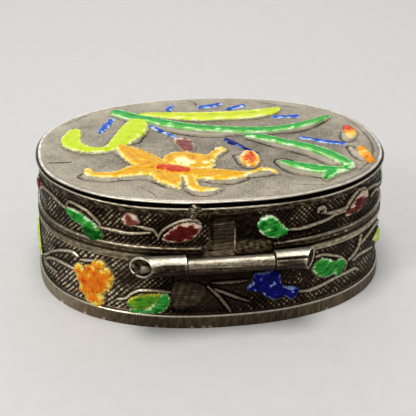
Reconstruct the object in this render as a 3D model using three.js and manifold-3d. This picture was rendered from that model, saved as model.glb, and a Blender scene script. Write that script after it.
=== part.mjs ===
// Oval silver pill box with a hinged lid and enamelled relief. Millimetres, +Z up, the hinge at +Y.
// The origin is on the table under the middle of the box. The box is drawn closed.
import * as THREE from "three";
import { mergeVertices } from "three/addons/utils/BufferGeometryUtils.js";
import Module from "manifold-3d";

// ---- driving sizes ----
const HALF_LENGTH = 22.5; // lid plate, along X
const HALF_WIDTH = 17.6; // lid plate, along Y
const ROUNDNESS = 2.26; // exponent of the oval: 2 is an ellipse, more is squarer
const TOP_Z = 16.85; // upper face of the lid plate
const SEAM_Z = 9.7; // top of the base, where the lid parts from it
const SEAM_GAP = 0.08;
const RAYS = 80; // facets round each oval
const FIT = 0.02; // gap between soldered pieces
const LID_CLEARANCE = 0.28; // lid wall round the bezel

// ---- oval pieces: each offset is added to both half axes of the plate ----
const BASE_WALL = { outer: 0.1, inner: -0.95 };
const FOOT = { outer: 0.45, height: 1.75, edge: 0.3, slope: 0.3 };
const RIM_BAND = { outer: 0.22, height: 0.75 };
const BEZEL = { outer: -1.0, inner: -1.5, rise: 1.2, chamfer: 0.25 };
const BOTTOM_THICKNESS = 0.5;
const LID_WALL = { outer: -0.15, inner: BEZEL.outer + LID_CLEARANCE };
const PLATE_THICKNESS = 0.35;
const WIRE = { radius: 0.15, below_plate: 0.55, sides: 6 };
const BEAD = { proud: 0.32, low: 0.28, high: 1.2, steps: 5 };
const HINGE_GAP = { left: -3.75, right: 5.0 }; // stretch of the lid's lower edge without a bead

// ---- hinge ----
const PIN_Y = 18.9;
const PIN_Z = 9.3;
const PIN_RADIUS = 0.5;
const BORE_RADIUS = 0.55;
const BASE_KNUCKLE_RADIUS = 1.12;
const LID_KNUCKLE_RADIUS = 0.9;
const LONG_KNUCKLE = [5.8, 12.3]; // along X
const LID_KNUCKLE = [-4.7, 5.65];
const SHORT_KNUCKLE = [-9.9, -4.85];
const ROLL_SEAM = { angle: 8, open: 12 }; // degrees above the outward level, and how far it gapes
const LEAF = { thick: 0.13, left: -3.6, right: 2.7, tongue_right: 4.6 };
const LAP = { thick: 0.12, left: 0.1, right: 2.7, tongue_right: 4.7 };
const TONGUE_TOP = 11.3;
const LEAF_TOP = 15.0;

// ---- relief ----
const TOP_RELIEF = 0.45; // height of the enamelled cells over the lid plate
const DRAWING_SHIFT = 0.7; // how far the lid plate's drawing lies from the middle towards the hinge
const HEART_BASE = 0.22; // floor of the hollow that the flower's heart fills
const HEART_RELIEF = 0.3;
const WALL_RELIEF = 0.5;
const WALL_RELIEF_GAP = 0.05; // a cell's back is flat between its points, the wall behind it is round
const CELL_SIDE = 0.12; // half width of a cell's cut-off tip

const SILVER = { color: 0xb5ab98, roughness: 0.42, metalness: 1 };
const DARK_SILVER = { color: 0x6b6152, roughness: 0.55, metalness: 1 };
const ENAMEL = { roughness: 0.18, metalness: 0 };
const CHARTREUSE = { ...ENAMEL, color: 0xc6d817 };
const YELLOW = { ...ENAMEL, color: 0xe8dc38 };
const GREEN = { ...ENAMEL, color: 0x35a845 };
const DARK_GREEN = { ...ENAMEL, color: 0x0b5a18 };
const ORANGE = { ...ENAMEL, color: 0xe9a020 };
const RED = { ...ENAMEL, color: 0xc02c0a };
const MAROON = { ...ENAMEL, color: 0x7a2320 };
const BLUE = { ...ENAMEL, color: 0x2348c8 };
const DARK_BLUE = { ...ENAMEL, color: 0x0a0d7c };

const wasm = await Module();
wasm.setup();

// ---- solids ----

function solidFrom(points, faces) {
  return new wasm.Manifold(
    new wasm.Mesh({
      numProp: 3,
      vertProperties: new Float32Array(points.flat()),
      triVerts: new Uint32Array(faces.flat()),
    }),
  );
}

function geometryFrom(solid) {
  const mesh = solid.getMesh();
  const positions = new Float32Array(mesh.numVert * 3);
  for (let i = 0; i < mesh.numVert; i++) {
    const start = i * mesh.numProp;
    positions.set(mesh.vertProperties.subarray(start, start + 3), i * 3);
  }
  const geometry = new THREE.BufferGeometry();
  geometry.setAttribute("position", new THREE.BufferAttribute(positions, 3));
  geometry.setIndex(new THREE.BufferAttribute(mesh.triVerts, 1));
  return geometry;
}

// A closed tube of equal sections. Each section is a list of points, clockwise as seen along the run.
function solidOfSections(sections, closed) {
  const size = sections[0].length;
  const faces = [];
  const last = closed ? sections.length : sections.length - 1;
  for (let i = 0; i < last; i++) {
    const here = i * size;
    const next = ((i + 1) % sections.length) * size;
    for (let j = 0; j < size; j++) {
      const k = (j + 1) % size;
      faces.push([here + j, here + k, next + k], [here + j, next + k, next + j]);
    }
  }
  if (!closed) {
    const end = (sections.length - 1) * size;
    for (const [a, b, c] of capFaces(sections[0])) faces.push([c, b, a]);
    for (const [a, b, c] of capFaces(sections.at(-1))) faces.push([end + a, end + b, end + c]);
  }
  const made = solidFrom(sections.flat(), faces);
  return made.volume() < 0 ? solidFrom(sections.flat(), faces.map(([a, b, c]) => [c, b, a])) : made;
}

// Triangles over a flat or nearly flat closed section.
function capFaces(section) {
  const points = section.map((p) => new THREE.Vector3(...p));
  const middle = points.reduce((sum, p) => sum.add(p), new THREE.Vector3()).divideScalar(points.length);
  const normal = new THREE.Vector3();
  points.forEach((p, i) => {
    const q = points[(i + 1) % points.length];
    normal.add(p.clone().sub(middle).cross(q.clone().sub(middle)));
  });
  normal.normalize();
  const helper = Math.abs(normal.z) < 0.8 ? new THREE.Vector3(0, 0, 1) : new THREE.Vector3(1, 0, 0);
  const across = helper.clone().cross(normal).normalize();
  const upward = normal.clone().cross(across);
  const flat = points.map((p) => new THREE.Vector2(p.dot(across), p.dot(upward)));
  return THREE.ShapeUtils.triangulateShape(flat, []);
}

// ---- the oval ----

// The point of the offset oval on a ray from the middle; angle 0 is +X and a quarter turn is +Y.
function ovalPoint(angle, offset) {
  const across = Math.abs(Math.cos(angle)) / (HALF_LENGTH + offset);
  const deep = Math.abs(Math.sin(angle)) / (HALF_WIDTH + offset);
  const radius = (across ** ROUNDNESS + deep ** ROUNDNESS) ** (-1 / ROUNDNESS);
  return [radius * Math.cos(angle), radius * Math.sin(angle)];
}

// The lid plate's outline walked from the middle of the hinge side, rightwards as seen from outside.
const WALK_STEPS = 2880;
const walk = [0];
for (let i = 1; i <= WALK_STEPS; i++) {
  const [x0, y0] = ovalPoint(walkAngle(i - 1), 0);
  const [x1, y1] = ovalPoint(walkAngle(i), 0);
  walk.push(walk[i - 1] + Math.hypot(x1 - x0, y1 - y0));
}
const OUTLINE_LENGTH = walk[WALK_STEPS];

function walkAngle(step) {
  return Math.PI / 2 + (step / WALK_STEPS) * 2 * Math.PI;
}

function angleAlong(distance) {
  const wrapped = ((distance % OUTLINE_LENGTH) + OUTLINE_LENGTH) % OUTLINE_LENGTH;
  const step = Math.max(1, walk.findIndex((length) => length >= wrapped));
  const part = (wrapped - walk[step - 1]) / (walk[step] - walk[step - 1]);
  const turns = distance < 0 ? -1 : 0;
  return walkAngle(step - 1 + part) + turns * 2 * Math.PI;
}

// A hoop whose section is a closed list of [offset, z].
function hoop(profile) {
  const sections = [];
  for (let i = 0; i < RAYS; i++) {
    const angle = (i / RAYS) * 2 * Math.PI;
    sections.push(profile.map(([offset, z]) => [...ovalPoint(angle, offset), z]));
  }
  return solidOfSections(sections, true);
}

// Part of a hoop, between two distances along the outline. It bends at the same rays as the hoops.
function band(profile, from, to) {
  const first = angleAlong(from);
  const last = angleAlong(to);
  const step = (2 * Math.PI) / RAYS;
  const angles = [first];
  for (let i = Math.floor(first / step) + 1; i * step < last; i++) angles.push(i * step);
  angles.push(last);
  return solidOfSections(
    angles.map((angle) => profile.map(([offset, z]) => [...ovalPoint(angle, offset), z])),
    false,
  );
}

function rectangle(inner, outer, low, high) {
  return [[inner, low], [outer, low], [outer, high], [inner, high]];
}

function ovalPlate(offset, low, high) {
  const points = [];
  const faces = [];
  for (let i = 0; i < RAYS; i++) {
    const [x, y] = ovalPoint((i / RAYS) * 2 * Math.PI, offset);
    points.push([x, y, low], [x, y, high]);
  }
  const bottom = points.push([0, 0, low]) - 1;
  const top = points.push([0, 0, high]) - 1;
  for (let i = 0; i < RAYS; i++) {
    const j = (i + 1) % RAYS;
    faces.push([2 * i, 2 * j, 2 * j + 1], [2 * i, 2 * j + 1, 2 * i + 1]);
    faces.push([bottom, 2 * j, 2 * i], [top, 2 * i + 1, 2 * j + 1]);
  }
  return solidFrom(points, faces);
}

// ---- base ----

function baseWall() {
  return hoop(rectangle(BASE_WALL.inner, BASE_WALL.outer, 0, SEAM_Z));
}

function footBand() {
  const inner = BASE_WALL.outer + FIT;
  return hoop([
    [inner, 0],
    [FOOT.outer, 0],
    [FOOT.outer, FOOT.height - FOOT.slope],
    [FOOT.edge, FOOT.height],
    [inner, FOOT.height],
  ]);
}

function rimBand() {
  return hoop(rectangle(BASE_WALL.outer + FIT, RIM_BAND.outer, SEAM_Z - RIM_BAND.height, SEAM_Z));
}

function bezel() {
  const top = SEAM_Z + BEZEL.rise;
  return hoop([
    [BEZEL.inner, BOTTOM_THICKNESS],
    [BEZEL.outer, BOTTOM_THICKNESS],
    [BEZEL.outer, top - BEZEL.chamfer],
    [BEZEL.outer - BEZEL.chamfer, top],
    [BEZEL.inner, top],
  ]);
}

// ---- lid ----

const LID_LOW = SEAM_Z + SEAM_GAP;
const PLATE_UNDERSIDE = TOP_Z - PLATE_THICKNESS;

function lidWall() {
  return hoop(rectangle(LID_WALL.inner, LID_WALL.outer, LID_LOW, PLATE_UNDERSIDE));
}

function rimWire() {
  const centre = LID_WALL.outer + FIT + WIRE.radius;
  const profile = [];
  for (let i = 0; i < WIRE.sides; i++) {
    const turn = ((i + 0.5) / WIRE.sides) * 2 * Math.PI;
    const z = PLATE_UNDERSIDE - WIRE.below_plate + WIRE.radius * Math.sin(turn);
    profile.push([centre + WIRE.radius * Math.cos(turn), z]);
  }
  return hoop(profile);
}

// Half-round moulding on the lid's lower edge; it stops short of the hinge on both sides.
function lidBead() {
  const inner = LID_WALL.outer + FIT;
  const low = SEAM_Z + BEAD.low;
  const high = SEAM_Z + BEAD.high;
  const profile = [];
  for (let i = 0; i <= BEAD.steps; i++) {
    const turn = (i / BEAD.steps - 0.5) * Math.PI;
    const z = (low + high) / 2 + ((high - low) / 2) * Math.sin(turn);
    profile.push([inner + 0.06 + (BEAD.proud - 0.06) * Math.cos(turn), z]);
  }
  profile.push([inner, high], [inner, low]);
  return band(profile, HINGE_GAP.right, OUTLINE_LENGTH + HINGE_GAP.left);
}

// ---- hinge ----

// A rolled sheet along X, with the open seam of the roll facing outwards.
function roll([from, to], radius) {
  const start = THREE.MathUtils.degToRad(ROLL_SEAM.angle + ROLL_SEAM.open / 2);
  const sweep = THREE.MathUtils.degToRad(360 - ROLL_SEAM.open);
  const steps = 20;
  const section = [];
  for (let i = 0; i <= steps; i++) section.push([radius, start + (sweep * i) / steps]);
  for (let i = steps; i >= 0; i--) section.push([BORE_RADIUS, start + (sweep * i) / steps]);
  const placed = (x) =>
    section.map(([r, turn]) => [x, PIN_Y + r * Math.cos(turn), PIN_Z + r * Math.sin(turn)]);
  return solidOfSections([placed(from), placed(to)], false);
}

// A bar along X whose section is a closed list of [y, z].
function bar([from, to], section) {
  const placed = (x) => section.map(([y, z]) => [x, y, z]);
  return solidOfSections([placed(from), placed(to)], false);
}

function boreCut([from, to]) {
  return round([from - 1, to + 1], BORE_RADIUS);
}

function round([from, to], radius) {
  const sides = 24;
  const section = [];
  for (let i = 0; i < sides; i++) {
    const turn = (i / sides) * 2 * Math.PI;
    section.push([PIN_Y + radius * Math.cos(turn), PIN_Z + radius * Math.sin(turn)]);
  }
  return bar([from, to], section);
}

// A base knuckle and the bearer that carries it back to the wall; the bearer's inner end follows the wall.
function baseKnuckle(span) {
  const bearer = bar(span, [
    [PIN_Y - 5, PIN_Z - 0.85],
    [PIN_Y - 0.55, PIN_Z - 0.85],
    [PIN_Y - 0.55, PIN_Z - 0.2],
    [PIN_Y - 5, PIN_Z - 0.2],
  ]);
  const box = ovalPlate(RIM_BAND.outer + FIT, 0, TOP_Z);
  return roll(span, BASE_KNUCKLE_RADIUS).add(bearer.subtract(boreCut(span))).subtract(box);
}

// The lid's knuckle: the roll, the web that climbs over the base's rim, and the leaf up the lid wall.
function lidKnuckle() {
  const inner = LID_WALL.outer + FIT;
  const outer = inner + LEAF.thick;
  const leafLow = LID_LOW + SEAM_GAP;
  const leaf = band(rectangle(inner, outer, leafLow, LEAF_TOP), LEAF.left, LEAF.right);
  const tongue = band(rectangle(inner, outer, leafLow, TONGUE_TOP), LEAF.left, LEAF.tongue_right);
  const web = bar([-LEAF.tongue_right, -LEAF.left], [
    [HALF_WIDTH + RIM_BAND.outer + 0.13, PIN_Z + 0.3],
    [PIN_Y - 0.5, PIN_Z + 0.5],
    [PIN_Y - 0.45, PIN_Z + 0.78],
    [HALF_WIDTH + 0.1, leafLow + 0.55],
    [HALF_WIDTH - 0.6, leafLow + 0.55],
    [HALF_WIDTH - 0.6, leafLow],
    [HALF_WIDTH + RIM_BAND.outer + 0.13, leafLow - 0.06],
  ]);
  const carried = web.subtract(ovalPlate(inner, 0, TOP_Z)).subtract(boreCut(LID_KNUCKLE));
  return roll(LID_KNUCKLE, LID_KNUCKLE_RADIUS).add(carried).add(leaf).add(tongue);
}

// The wall strip's own end, lapped over the right half of the leaf.
function wallLap() {
  const inner = LID_WALL.outer + 2 * FIT + LEAF.thick;
  const outer = inner + LAP.thick;
  const low = LID_LOW + 0.75;
  const panel = band(rectangle(inner, outer, low, LEAF_TOP), LAP.left, LAP.right);
  const tongue = band(rectangle(inner, outer, low, TONGUE_TOP), LAP.left, LAP.tongue_right);
  return panel.add(tongue);
}

// ---- relief cells ----

// Relief is laid out as it looks from the hinge side: on the plate [right, away], on a wall [along, up].
const onPlate = ([right, away], out) => [-right, DRAWING_SHIFT - away, TOP_Z + out];

function onWall(wallOffset) {
  return ([along, up], out) => {
    const angle = angleAlong(along);
    return [...ovalPoint(angle, wallOffset + WALL_RELIEF_GAP + out), up];
  };
}

// A long cell round a smooth line: full width in the middle, drawn in at both ends, rounded on top.
// ends is [start, end]: the share of the length over which each end draws in.
function cell(place, relief, line, width, ends = [0.5, 0.5]) {
  const curve = new THREE.CatmullRomCurve3(line.map(([a, b]) => new THREE.Vector3(a, b, 0)));
  const steps = Math.min(16, Math.max(8, Math.round(curve.getLength() / 0.8)));
  const sections = [];
  for (let i = 0; i <= steps; i++) {
    const t = i / steps;
    const middle = curve.getPointAt(t);
    const run = curve.getTangentAt(t);
    const rise = Math.min(1, t / ends[0], (1 - t) / ends[1]);
    const round = Math.sqrt(1 - (1 - rise) ** 2);
    const half = CELL_SIDE + (width / 2 - CELL_SIDE) * round;
    const high = relief * (0.35 + 0.65 * round);
    const section = [[-1, 0], [-0.85, 0.7], [0, 1], [0.85, 0.7], [1, 0], [0, 0]];
    sections.push(
      section.map(([side, up]) =>
        place([middle.x - run.y * half * side, middle.y + run.x * half * side], high * up),
      ),
    );
  }
  return solidOfSections(sections, false);
}

function joined(cells) {
  return cells.reduce((all, one) => all.add(one));
}

// ---- the finished group ----

const root = new THREE.Group();
root.name = "pill_box";

function addNode(name, solid, look) {
  const geometry = mergeVertices(geometryFrom(solid), 1e-4);
  const mesh = new THREE.Mesh(geometry, new THREE.MeshStandardMaterial(look));
  mesh.name = name;
  root.add(mesh);
}

addNode("base_plate", ovalPlate(BASE_WALL.inner - FIT, 0, BOTTOM_THICKNESS), SILVER);
addNode("base_wall", baseWall(), DARK_SILVER);
addNode("base_foot_band", footBand(), SILVER);
addNode("base_rim_band", rimBand(), SILVER);
addNode("base_bezel", bezel(), SILVER);
addNode("base_knuckle_long", baseKnuckle(LONG_KNUCKLE), SILVER);
addNode("base_knuckle_short", baseKnuckle(SHORT_KNUCKLE), SILVER);
addNode("hinge_pin", round([SHORT_KNUCKLE[0] + 0.2, LONG_KNUCKLE[1] - 0.35], PIN_RADIUS), SILVER);
addNode("lid_plate", ovalPlate(0, PLATE_UNDERSIDE, TOP_Z), SILVER);
addNode("lid_wall", lidWall(), DARK_SILVER);
addNode("lid_rim_wire", rimWire(), SILVER);
addNode("lid_bead", lidBead(), SILVER);
addNode("lid_knuckle", lidKnuckle(), SILVER);
addNode("lid_wall_lap", wallLap(), DARK_SILVER);

// Relief on the lid plate.
const topCell = (line, width, ends) => cell(onPlate, TOP_RELIEF, line, width, ends);
const TOP_CELLS = {
  top_leaf_curled: [CHARTREUSE, [[-18.2, 7.4], [-18.2, 3.6], [-16.6, 0.9], [-14, 0.4], [-12.2, 1.8], [-10.6, 5.2], [-9.3, 9.8]], 1.9, [0.06, 0.1]],
  top_leaf_long: [GREEN, [[-11.4, 14.2], [-8.2, 11.4], [-4, 8.5], [1, 6.1], [6.5, 4.9], [11.5, 5.1], [15, 6.6], [17.6, 8.7]], 1.8, [0.05, 0.15]],
  top_leaf_yellow: [YELLOW, [[-7.6, 13.3], [-4, 12.1], [1.5, 11.2], [7, 11.7], [11.3, 13.2]], 2.3, [0.2, 0.2]],
  top_leaf_bent: [GREEN, [[5.6, 2.4], [9.5, -0.2], [13, -3], [15, -5.8], [15.7, -8.8]], 1.7, [0.08, 0.12]],
  top_leaf_lobe: [GREEN, [[8.1, -6.7], [10.5, -8.2], [12.4, -9.9], [14.6, -10.7]], 1.9, [0.1, 0.12]],
  top_bud: [MAROON, [[-3.5, 2.4], [-3.6, -1.2]], 1.7, [0.45, 0.45]],
  top_berry_red: [ORANGE, [[4.5, -2.9], [3.6, -7]], 1.9, [0.45, 0.45]],
  top_berry_far: [ORANGE, [[19.3, 4.2], [18.7, 0.3]], 1.4, [0.45, 0.45]],
  top_berry_near: [ORANGE, [[19.3, -3.1], [18.7, -7.2]], 1.4, [0.45, 0.45]],
  top_dash_1: [BLUE, [[-14, 6.9], [-12.1, 11.3]], 1.0, [0.2, 0.2]],
  top_dash_2: [BLUE, [[-4, 13.9], [-3.3, 15.6]], 0.8, [0.3, 0.3]],
  top_dash_3: [BLUE, [[0.8, 14.5], [3.5, 15.4]], 1.1, [0.3, 0.3]],
  top_dash_4: [BLUE, [[4.6, 13.1], [6.9, 14.4]], 1.0, [0.3, 0.3]],
  top_dash_5: [BLUE, [[10.5, 9.4], [13.4, 9.3]], 1.1, [0.3, 0.3]],
  top_dash_6: [BLUE, [[-6.9, 7.6], [-5.4, 5.3], [-3.8, 3.2]], 0.6, [0.3, 0.3]],
  top_dash_7: [DARK_BLUE, [[2.1, 2.4], [3.2, 0.3], [5.2, -3.1]], 1.1, [0.3, 0.5]],
  top_dash_8: [BLUE, [[12.5, 1.2], [14.8, -0.3], [17.2, -1.3]], 1.0, [0.2, 0.2]],
};
for (const [name, [look, line, width, ends]] of Object.entries(TOP_CELLS)) {
  addNode(name, topCell(line, width, ends), look);
}

// The flower's petals run together in one cell; its red heart lies in a hollow cut into them.
const heartAt = (point, out) => onPlate(point, out + HEART_BASE);
const flowerHeart = cell(heartAt, HEART_RELIEF, [[-7.4, -6.2], [-4.4, -8.2]], 1.5, [0.4, 0.4]);
const flower = joined([
  topCell([[-8.6, -5.4], [-6, -7.2], [-3.2, -8.6]], 3.0, [0.4, 0.4]),
  topCell([[-11, -0.3], [-10.2, -2.4], [-8.8, -4.6], [-6.4, -6.6]], 2.5, [0.2, 0.3]),
  topCell([[-16.7, -6.4], [-15.2, -8], [-12, -7.7], [-8.6, -6.2], [-6, -6.6]], 1.9, [0.3, 0.2]),
  topCell([[-5.6, -2.6], [-4.6, -4.6], [-4, -7.4]], 3.2, [0.3, 0.4]),
  topCell([[-5.2, -7.4], [-3, -5.6], [-1, -3.8], [0.8, -1.5]], 2.1, [0.3, 0.3]),
  topCell([[-5.4, -7.8], [-2, -9.2], [0.8, -10], [3.2, -9.6]], 2.6, [0.2, 0.4]),
  topCell([[2, -9.8], [4.2, -9.2], [5.8, -8.9], [6.7, -10.4]], 0.9, [0.2, 0.3]),
  topCell([[-7, -7], [-6.6, -9.4], [-5.8, -12.3]], 2.6, [0.3, 0.5]),
  topCell([[-4.4, -8], [-4.1, -11.2], [-3.6, -13.2], [-1.9, -13.4]], 1.1, [0.2, 0.3]),
]);
const roomAt = (point, out) => onPlate(point, out + HEART_BASE - FIT);
const heartRoom = cell(roomAt, TOP_RELIEF, [[-7.5, -6.13], [-4.3, -8.27]], 1.62, [0.36, 0.36]);
addNode("top_flower", flower.subtract(heartRoom), ORANGE);
addNode("top_flower_heart", flowerHeart, RED);

// Relief on the walls. The half that faces away from the hinge carries the same kinds of leaf and berry.
const onLid = onWall(LID_WALL.outer);
const onLap = onWall(LID_WALL.outer + 3 * FIT + LEAF.thick + LAP.thick);
const onBase = onWall(BASE_WALL.outer);
const POINTED = [0.5, 0.5];
const WALL_CELLS = {
  lid_leaf_1: [onLid, GREEN, [[-21.3, 13.5], [-19, 13.2], [-16.7, 12.5]], 1.5, POINTED],
  lid_leaf_1_lobe: [onLid, DARK_GREEN, [[-18.6, 11.35], [-15.9, 11.4]], 0.8, [0.4, 0.4]],
  lid_berry_1: [onLid, MAROON, [[-13.1, 14.3], [-11.3, 14.1]], 1.6, POINTED],
  lid_leaf_2: [onLid, MAROON, [[-8.4, 12.1], [-6.3, 12.8], [-4.1, 13.5]], 1.6, POINTED],
  lid_leaf_3: [onLap, GREEN, [[3, 13.4], [4.7, 13.1], [6.7, 12.1]], 2.1, POINTED],
  lid_leaf_4: [onLid, MAROON, [[15.1, 12.5], [17, 13.4], [19.1, 13.8]], 1.8, POINTED],
  lid_berry_2: [onLid, MAROON, [[-30.4, 13.6], [-28.6, 13.9]], 1.5, POINTED],
  lid_leaf_5: [onLid, GREEN, [[27, 12], [29.4, 13.2], [32, 13.4]], 1.5, POINTED],
  lid_leaf_6: [onLid, MAROON, [[39.5, 12.2], [41.8, 13.1], [44, 13.7]], 1.5, POINTED],
  lid_leaf_7: [onLid, GREEN, [[51.5, 13.7], [54, 13.1], [56.4, 12.2]], 1.6, POINTED],
  lid_berry_3: [onLid, MAROON, [[64, 13.1], [65.8, 13.3]], 1.6, POINTED],
  lid_leaf_8: [onLid, GREEN, [[-54.5, 12.2], [-52.2, 13.2], [-49.6, 13.6]], 1.6, POINTED],
  lid_leaf_9: [onLid, MAROON, [[-42.8, 13.6], [-40.4, 13], [-38.2, 12]], 1.5, POINTED],
  base_leaf_1: [onBase, GREEN, [[-12.5, 2.9], [-10.3, 3.3], [-7.6, 3.9]], 2.0, [0.4, 0.35]],
  base_leaf_2: [onBase, DARK_SILVER, [[-7.1, 4], [-5.4, 4.4], [-3.5, 4.9]], 2.1, [0.3, 0.5]],
  base_leaf_3: [onBase, GREEN, [[10.3, 6.5], [12.9, 6.1], [15.2, 4.8]], 1.9, [0.4, 0.35]],
  base_leaf_4: [onBase, CHARTREUSE, [[22, 6.4], [25.2, 5.6], [28.6, 3.8]], 1.7, [0.3, 0.4]],
  base_leaf_5: [onBase, CHARTREUSE, [[-35.5, 7], [-32.2, 5.6], [-29.4, 3.6]], 1.7, [0.3, 0.4]],
  base_leaf_6: [onBase, GREEN, [[37, 3.6], [39.6, 5], [42.4, 5.4]], 1.9, POINTED],
  base_leaf_7: [onBase, CHARTREUSE, [[57.5, 5.6], [60, 5], [62.6, 3.8]], 1.8, POINTED],
  base_leaf_8: [onBase, GREEN, [[-46, 5.4], [-43.4, 5], [-40.8, 3.6]], 1.9, POINTED],
};
for (const [name, [place, look, line, width, ends]] of Object.entries(WALL_CELLS)) {
  addNode(name, cell(place, WALL_RELIEF, line, width, ends), look);
}

// A wall flower: petals about a centre, each given by its direction in degrees and its length.
function wallFlower([along, up], petals, width) {
  const cells = petals.map(([direction, length]) => {
    const turn = THREE.MathUtils.degToRad(direction);
    const tip = [along + length * Math.cos(turn), up + length * Math.sin(turn)];
    return cell(onBase, WALL_RELIEF, [[along, up], tip], width, [0.3, 0.5]);
  });
  return joined(cells);
}

const SIX_PETALS = [[70, 3], [20, 2.7], [-45, 2.6], [-105, 3.3], [175, 3.2], [125, 2.6]];
const FIVE_PETALS = [[60, 2], [120, 2.3], [185, 2.6], [-120, 2], [-35, 3.9]];
addNode("base_flower_orange", wallFlower([-17.2, 5], SIX_PETALS, 2.2), ORANGE);
addNode("base_flower_blue", wallFlower([4.5, 5.2], FIVE_PETALS, 2.3), DARK_BLUE);
addNode("base_flower_front", wallFlower([50.5, 5], SIX_PETALS, 2.1), ORANGE);
addNode("base_flower_front_blue", wallFlower([-54, 5], FIVE_PETALS, 2.2), DARK_BLUE);

export default root;
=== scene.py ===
"""Looks for the oval silver pill box: chased silver walls, embossed and enamelled leaves and flowers.

Lengths are in millimetres and become metres where a mesh is made. The relief is laid out as it looks
from the hinge side: on the lid's plate by distances to the right and away from its middle, and on the
walls by the distance along the outline, from the middle of the hinge side to the right, and the height.
"""

import math

import bmesh
import bpy
import numpy as np
from mathutils import Matrix, Vector


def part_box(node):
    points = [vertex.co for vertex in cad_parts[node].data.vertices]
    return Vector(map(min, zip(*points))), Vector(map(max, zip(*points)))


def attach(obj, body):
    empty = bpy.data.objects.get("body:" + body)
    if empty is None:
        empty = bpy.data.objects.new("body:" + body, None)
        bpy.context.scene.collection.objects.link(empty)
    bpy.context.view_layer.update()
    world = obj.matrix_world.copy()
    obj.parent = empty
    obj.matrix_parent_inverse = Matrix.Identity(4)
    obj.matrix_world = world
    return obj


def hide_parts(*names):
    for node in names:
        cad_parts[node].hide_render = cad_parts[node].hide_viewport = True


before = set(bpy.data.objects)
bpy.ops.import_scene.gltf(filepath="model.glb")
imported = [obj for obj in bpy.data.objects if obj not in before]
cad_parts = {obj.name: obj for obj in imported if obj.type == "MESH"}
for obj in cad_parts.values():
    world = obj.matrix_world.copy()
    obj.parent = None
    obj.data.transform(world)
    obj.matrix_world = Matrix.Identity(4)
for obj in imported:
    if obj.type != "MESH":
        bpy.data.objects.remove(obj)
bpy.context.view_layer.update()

# ---- sizes, from the frame ----
MM = 0.001
X, Y, Z = 0, 1, 2


def reach(node, axis):
    """Lowest and highest coordinate of a CAD node along an axis."""
    low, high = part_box(node)
    return low[axis] / MM, high[axis] / MM


HALF_LENGTH = reach("lid_plate", X)[1]
HALF_WIDTH = reach("lid_plate", Y)[1]
PLATE_LOW, TOP_Z = reach("lid_plate", Z)
ROUNDNESS = 2.26  # exponent of the oval: 2 is an ellipse, more is squarer
SEAM_Z = reach("base_wall", Z)[1]
LID_LOW = reach("lid_wall", Z)[0]
FOOT_HIGH = reach("base_foot_band", Z)[1]
FLOOR_HIGH = reach("base_plate", Z)[1]
BAND_LOW = reach("base_rim_band", Z)[0]
BEZEL_HIGH = reach("base_bezel", Z)[1]
BEAD_LOW, BEAD_HIGH = reach("lid_bead", Z)
WIRE_LOW, WIRE_HIGH = reach("lid_rim_wire", Z)
PIN_RIGHT, PIN_LEFT = reach("hinge_pin", X)
PIN_Y = sum(reach("hinge_pin", Y)) / 2
PIN_Z = sum(reach("hinge_pin", Z)) / 2
PIN_RADIUS = reach("hinge_pin", Z)[1] - PIN_Z
BORE_RADIUS = PIN_RADIUS + 0.05  # the rolls turn freely on the pin


def offset_of(node):
    """How far outside the plate's outline a hoop's outer face lies."""
    return reach(node, X)[1] - HALF_LENGTH


BASE_WALL = offset_of("base_wall")
LID_WALL = offset_of("lid_wall")
FOOT = offset_of("base_foot_band")
RIM_BAND = offset_of("base_rim_band")
BEZEL = offset_of("base_bezel")
BEAD = offset_of("lid_bead")
WIRE = offset_of("lid_rim_wire")
LAP_IN = 0.02  # how far a piece reaches into the one that carries it
BASE_WALL_INNER = offset_of("base_plate") + LAP_IN
BEZEL_INNER = BEZEL - 0.5  # the bezel's inner face
LID_WALL_INNER = BEZEL + 0.28  # the lid's wall clears the bezel it goes over
SHEET = 0.13  # thickness of the hinge leaf and of the lap over it
HATCH_LOW = BEAD_HIGH  # the chased band on the lid's wall
HATCH_HIGH = 15.12
BEAD_GAP = (-3.75, 5.0)  # the lid's bead stops on both sides of the hinge


# ---- the oval ----
def oval(angle, offset=0.0):
    """Points of the grown outline on rays from the middle. Angle 0 is +X, a quarter turn is the hinge."""
    across = np.abs(np.cos(angle)) / (HALF_LENGTH + offset)
    deep = np.abs(np.sin(angle)) / (HALF_WIDTH + offset)
    radius = (across**ROUNDNESS + deep**ROUNDNESS) ** (-1 / ROUNDNESS)
    return radius * np.cos(angle), radius * np.sin(angle)


WALK_STEPS = 5760
WALK_ANGLES = np.pi / 2 + np.linspace(0, 2 * np.pi, WALK_STEPS + 1)
WALK_X, WALK_Y = oval(WALK_ANGLES)
WALK = np.concatenate([[0], np.cumsum(np.hypot(np.diff(WALK_X), np.diff(WALK_Y)))])
OUTLINE = WALK[-1]


def angle_at(along):
    """The ray at a distance along the outline."""
    return np.interp(np.mod(along, OUTLINE), WALK, WALK_ANGLES)


def from_hinge(along):
    """The distance along the outline from the middle of the hinge side, below 0 on its left."""
    return np.mod(along + OUTLINE / 2, OUTLINE) - OUTLINE / 2


def on_wall(along, up, offset):
    """Points at distances along the outline, heights, and offsets outwards from the outline."""
    x, y = oval(angle_at(along), offset)
    return np.stack(np.broadcast_arrays(x, y, up), -1)


def on_plate(right, away, out):
    """Points at distances from the middle of the lid's plate, and heights over it."""
    return np.stack(np.broadcast_arrays(-right, -away, TOP_Z + out), -1)


# ---- noise and easing ----
def ripple(u, v, size, seed):
    """Smooth noise between about -1 and 1, with bumps of about that size."""
    draw = np.random.default_rng(seed)
    total = np.zeros(np.broadcast(u, v).shape)
    waves = 9
    for _ in range(waves):
        turn = draw.uniform(0, 2 * np.pi)
        rate = 2 * np.pi / size * draw.uniform(0.45, 1.1)
        phase = draw.uniform(0, 2 * np.pi)
        total += np.sin((u * math.cos(turn) + v * math.sin(turn)) * rate + phase)
    return total / math.sqrt(waves) / 1.3


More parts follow.
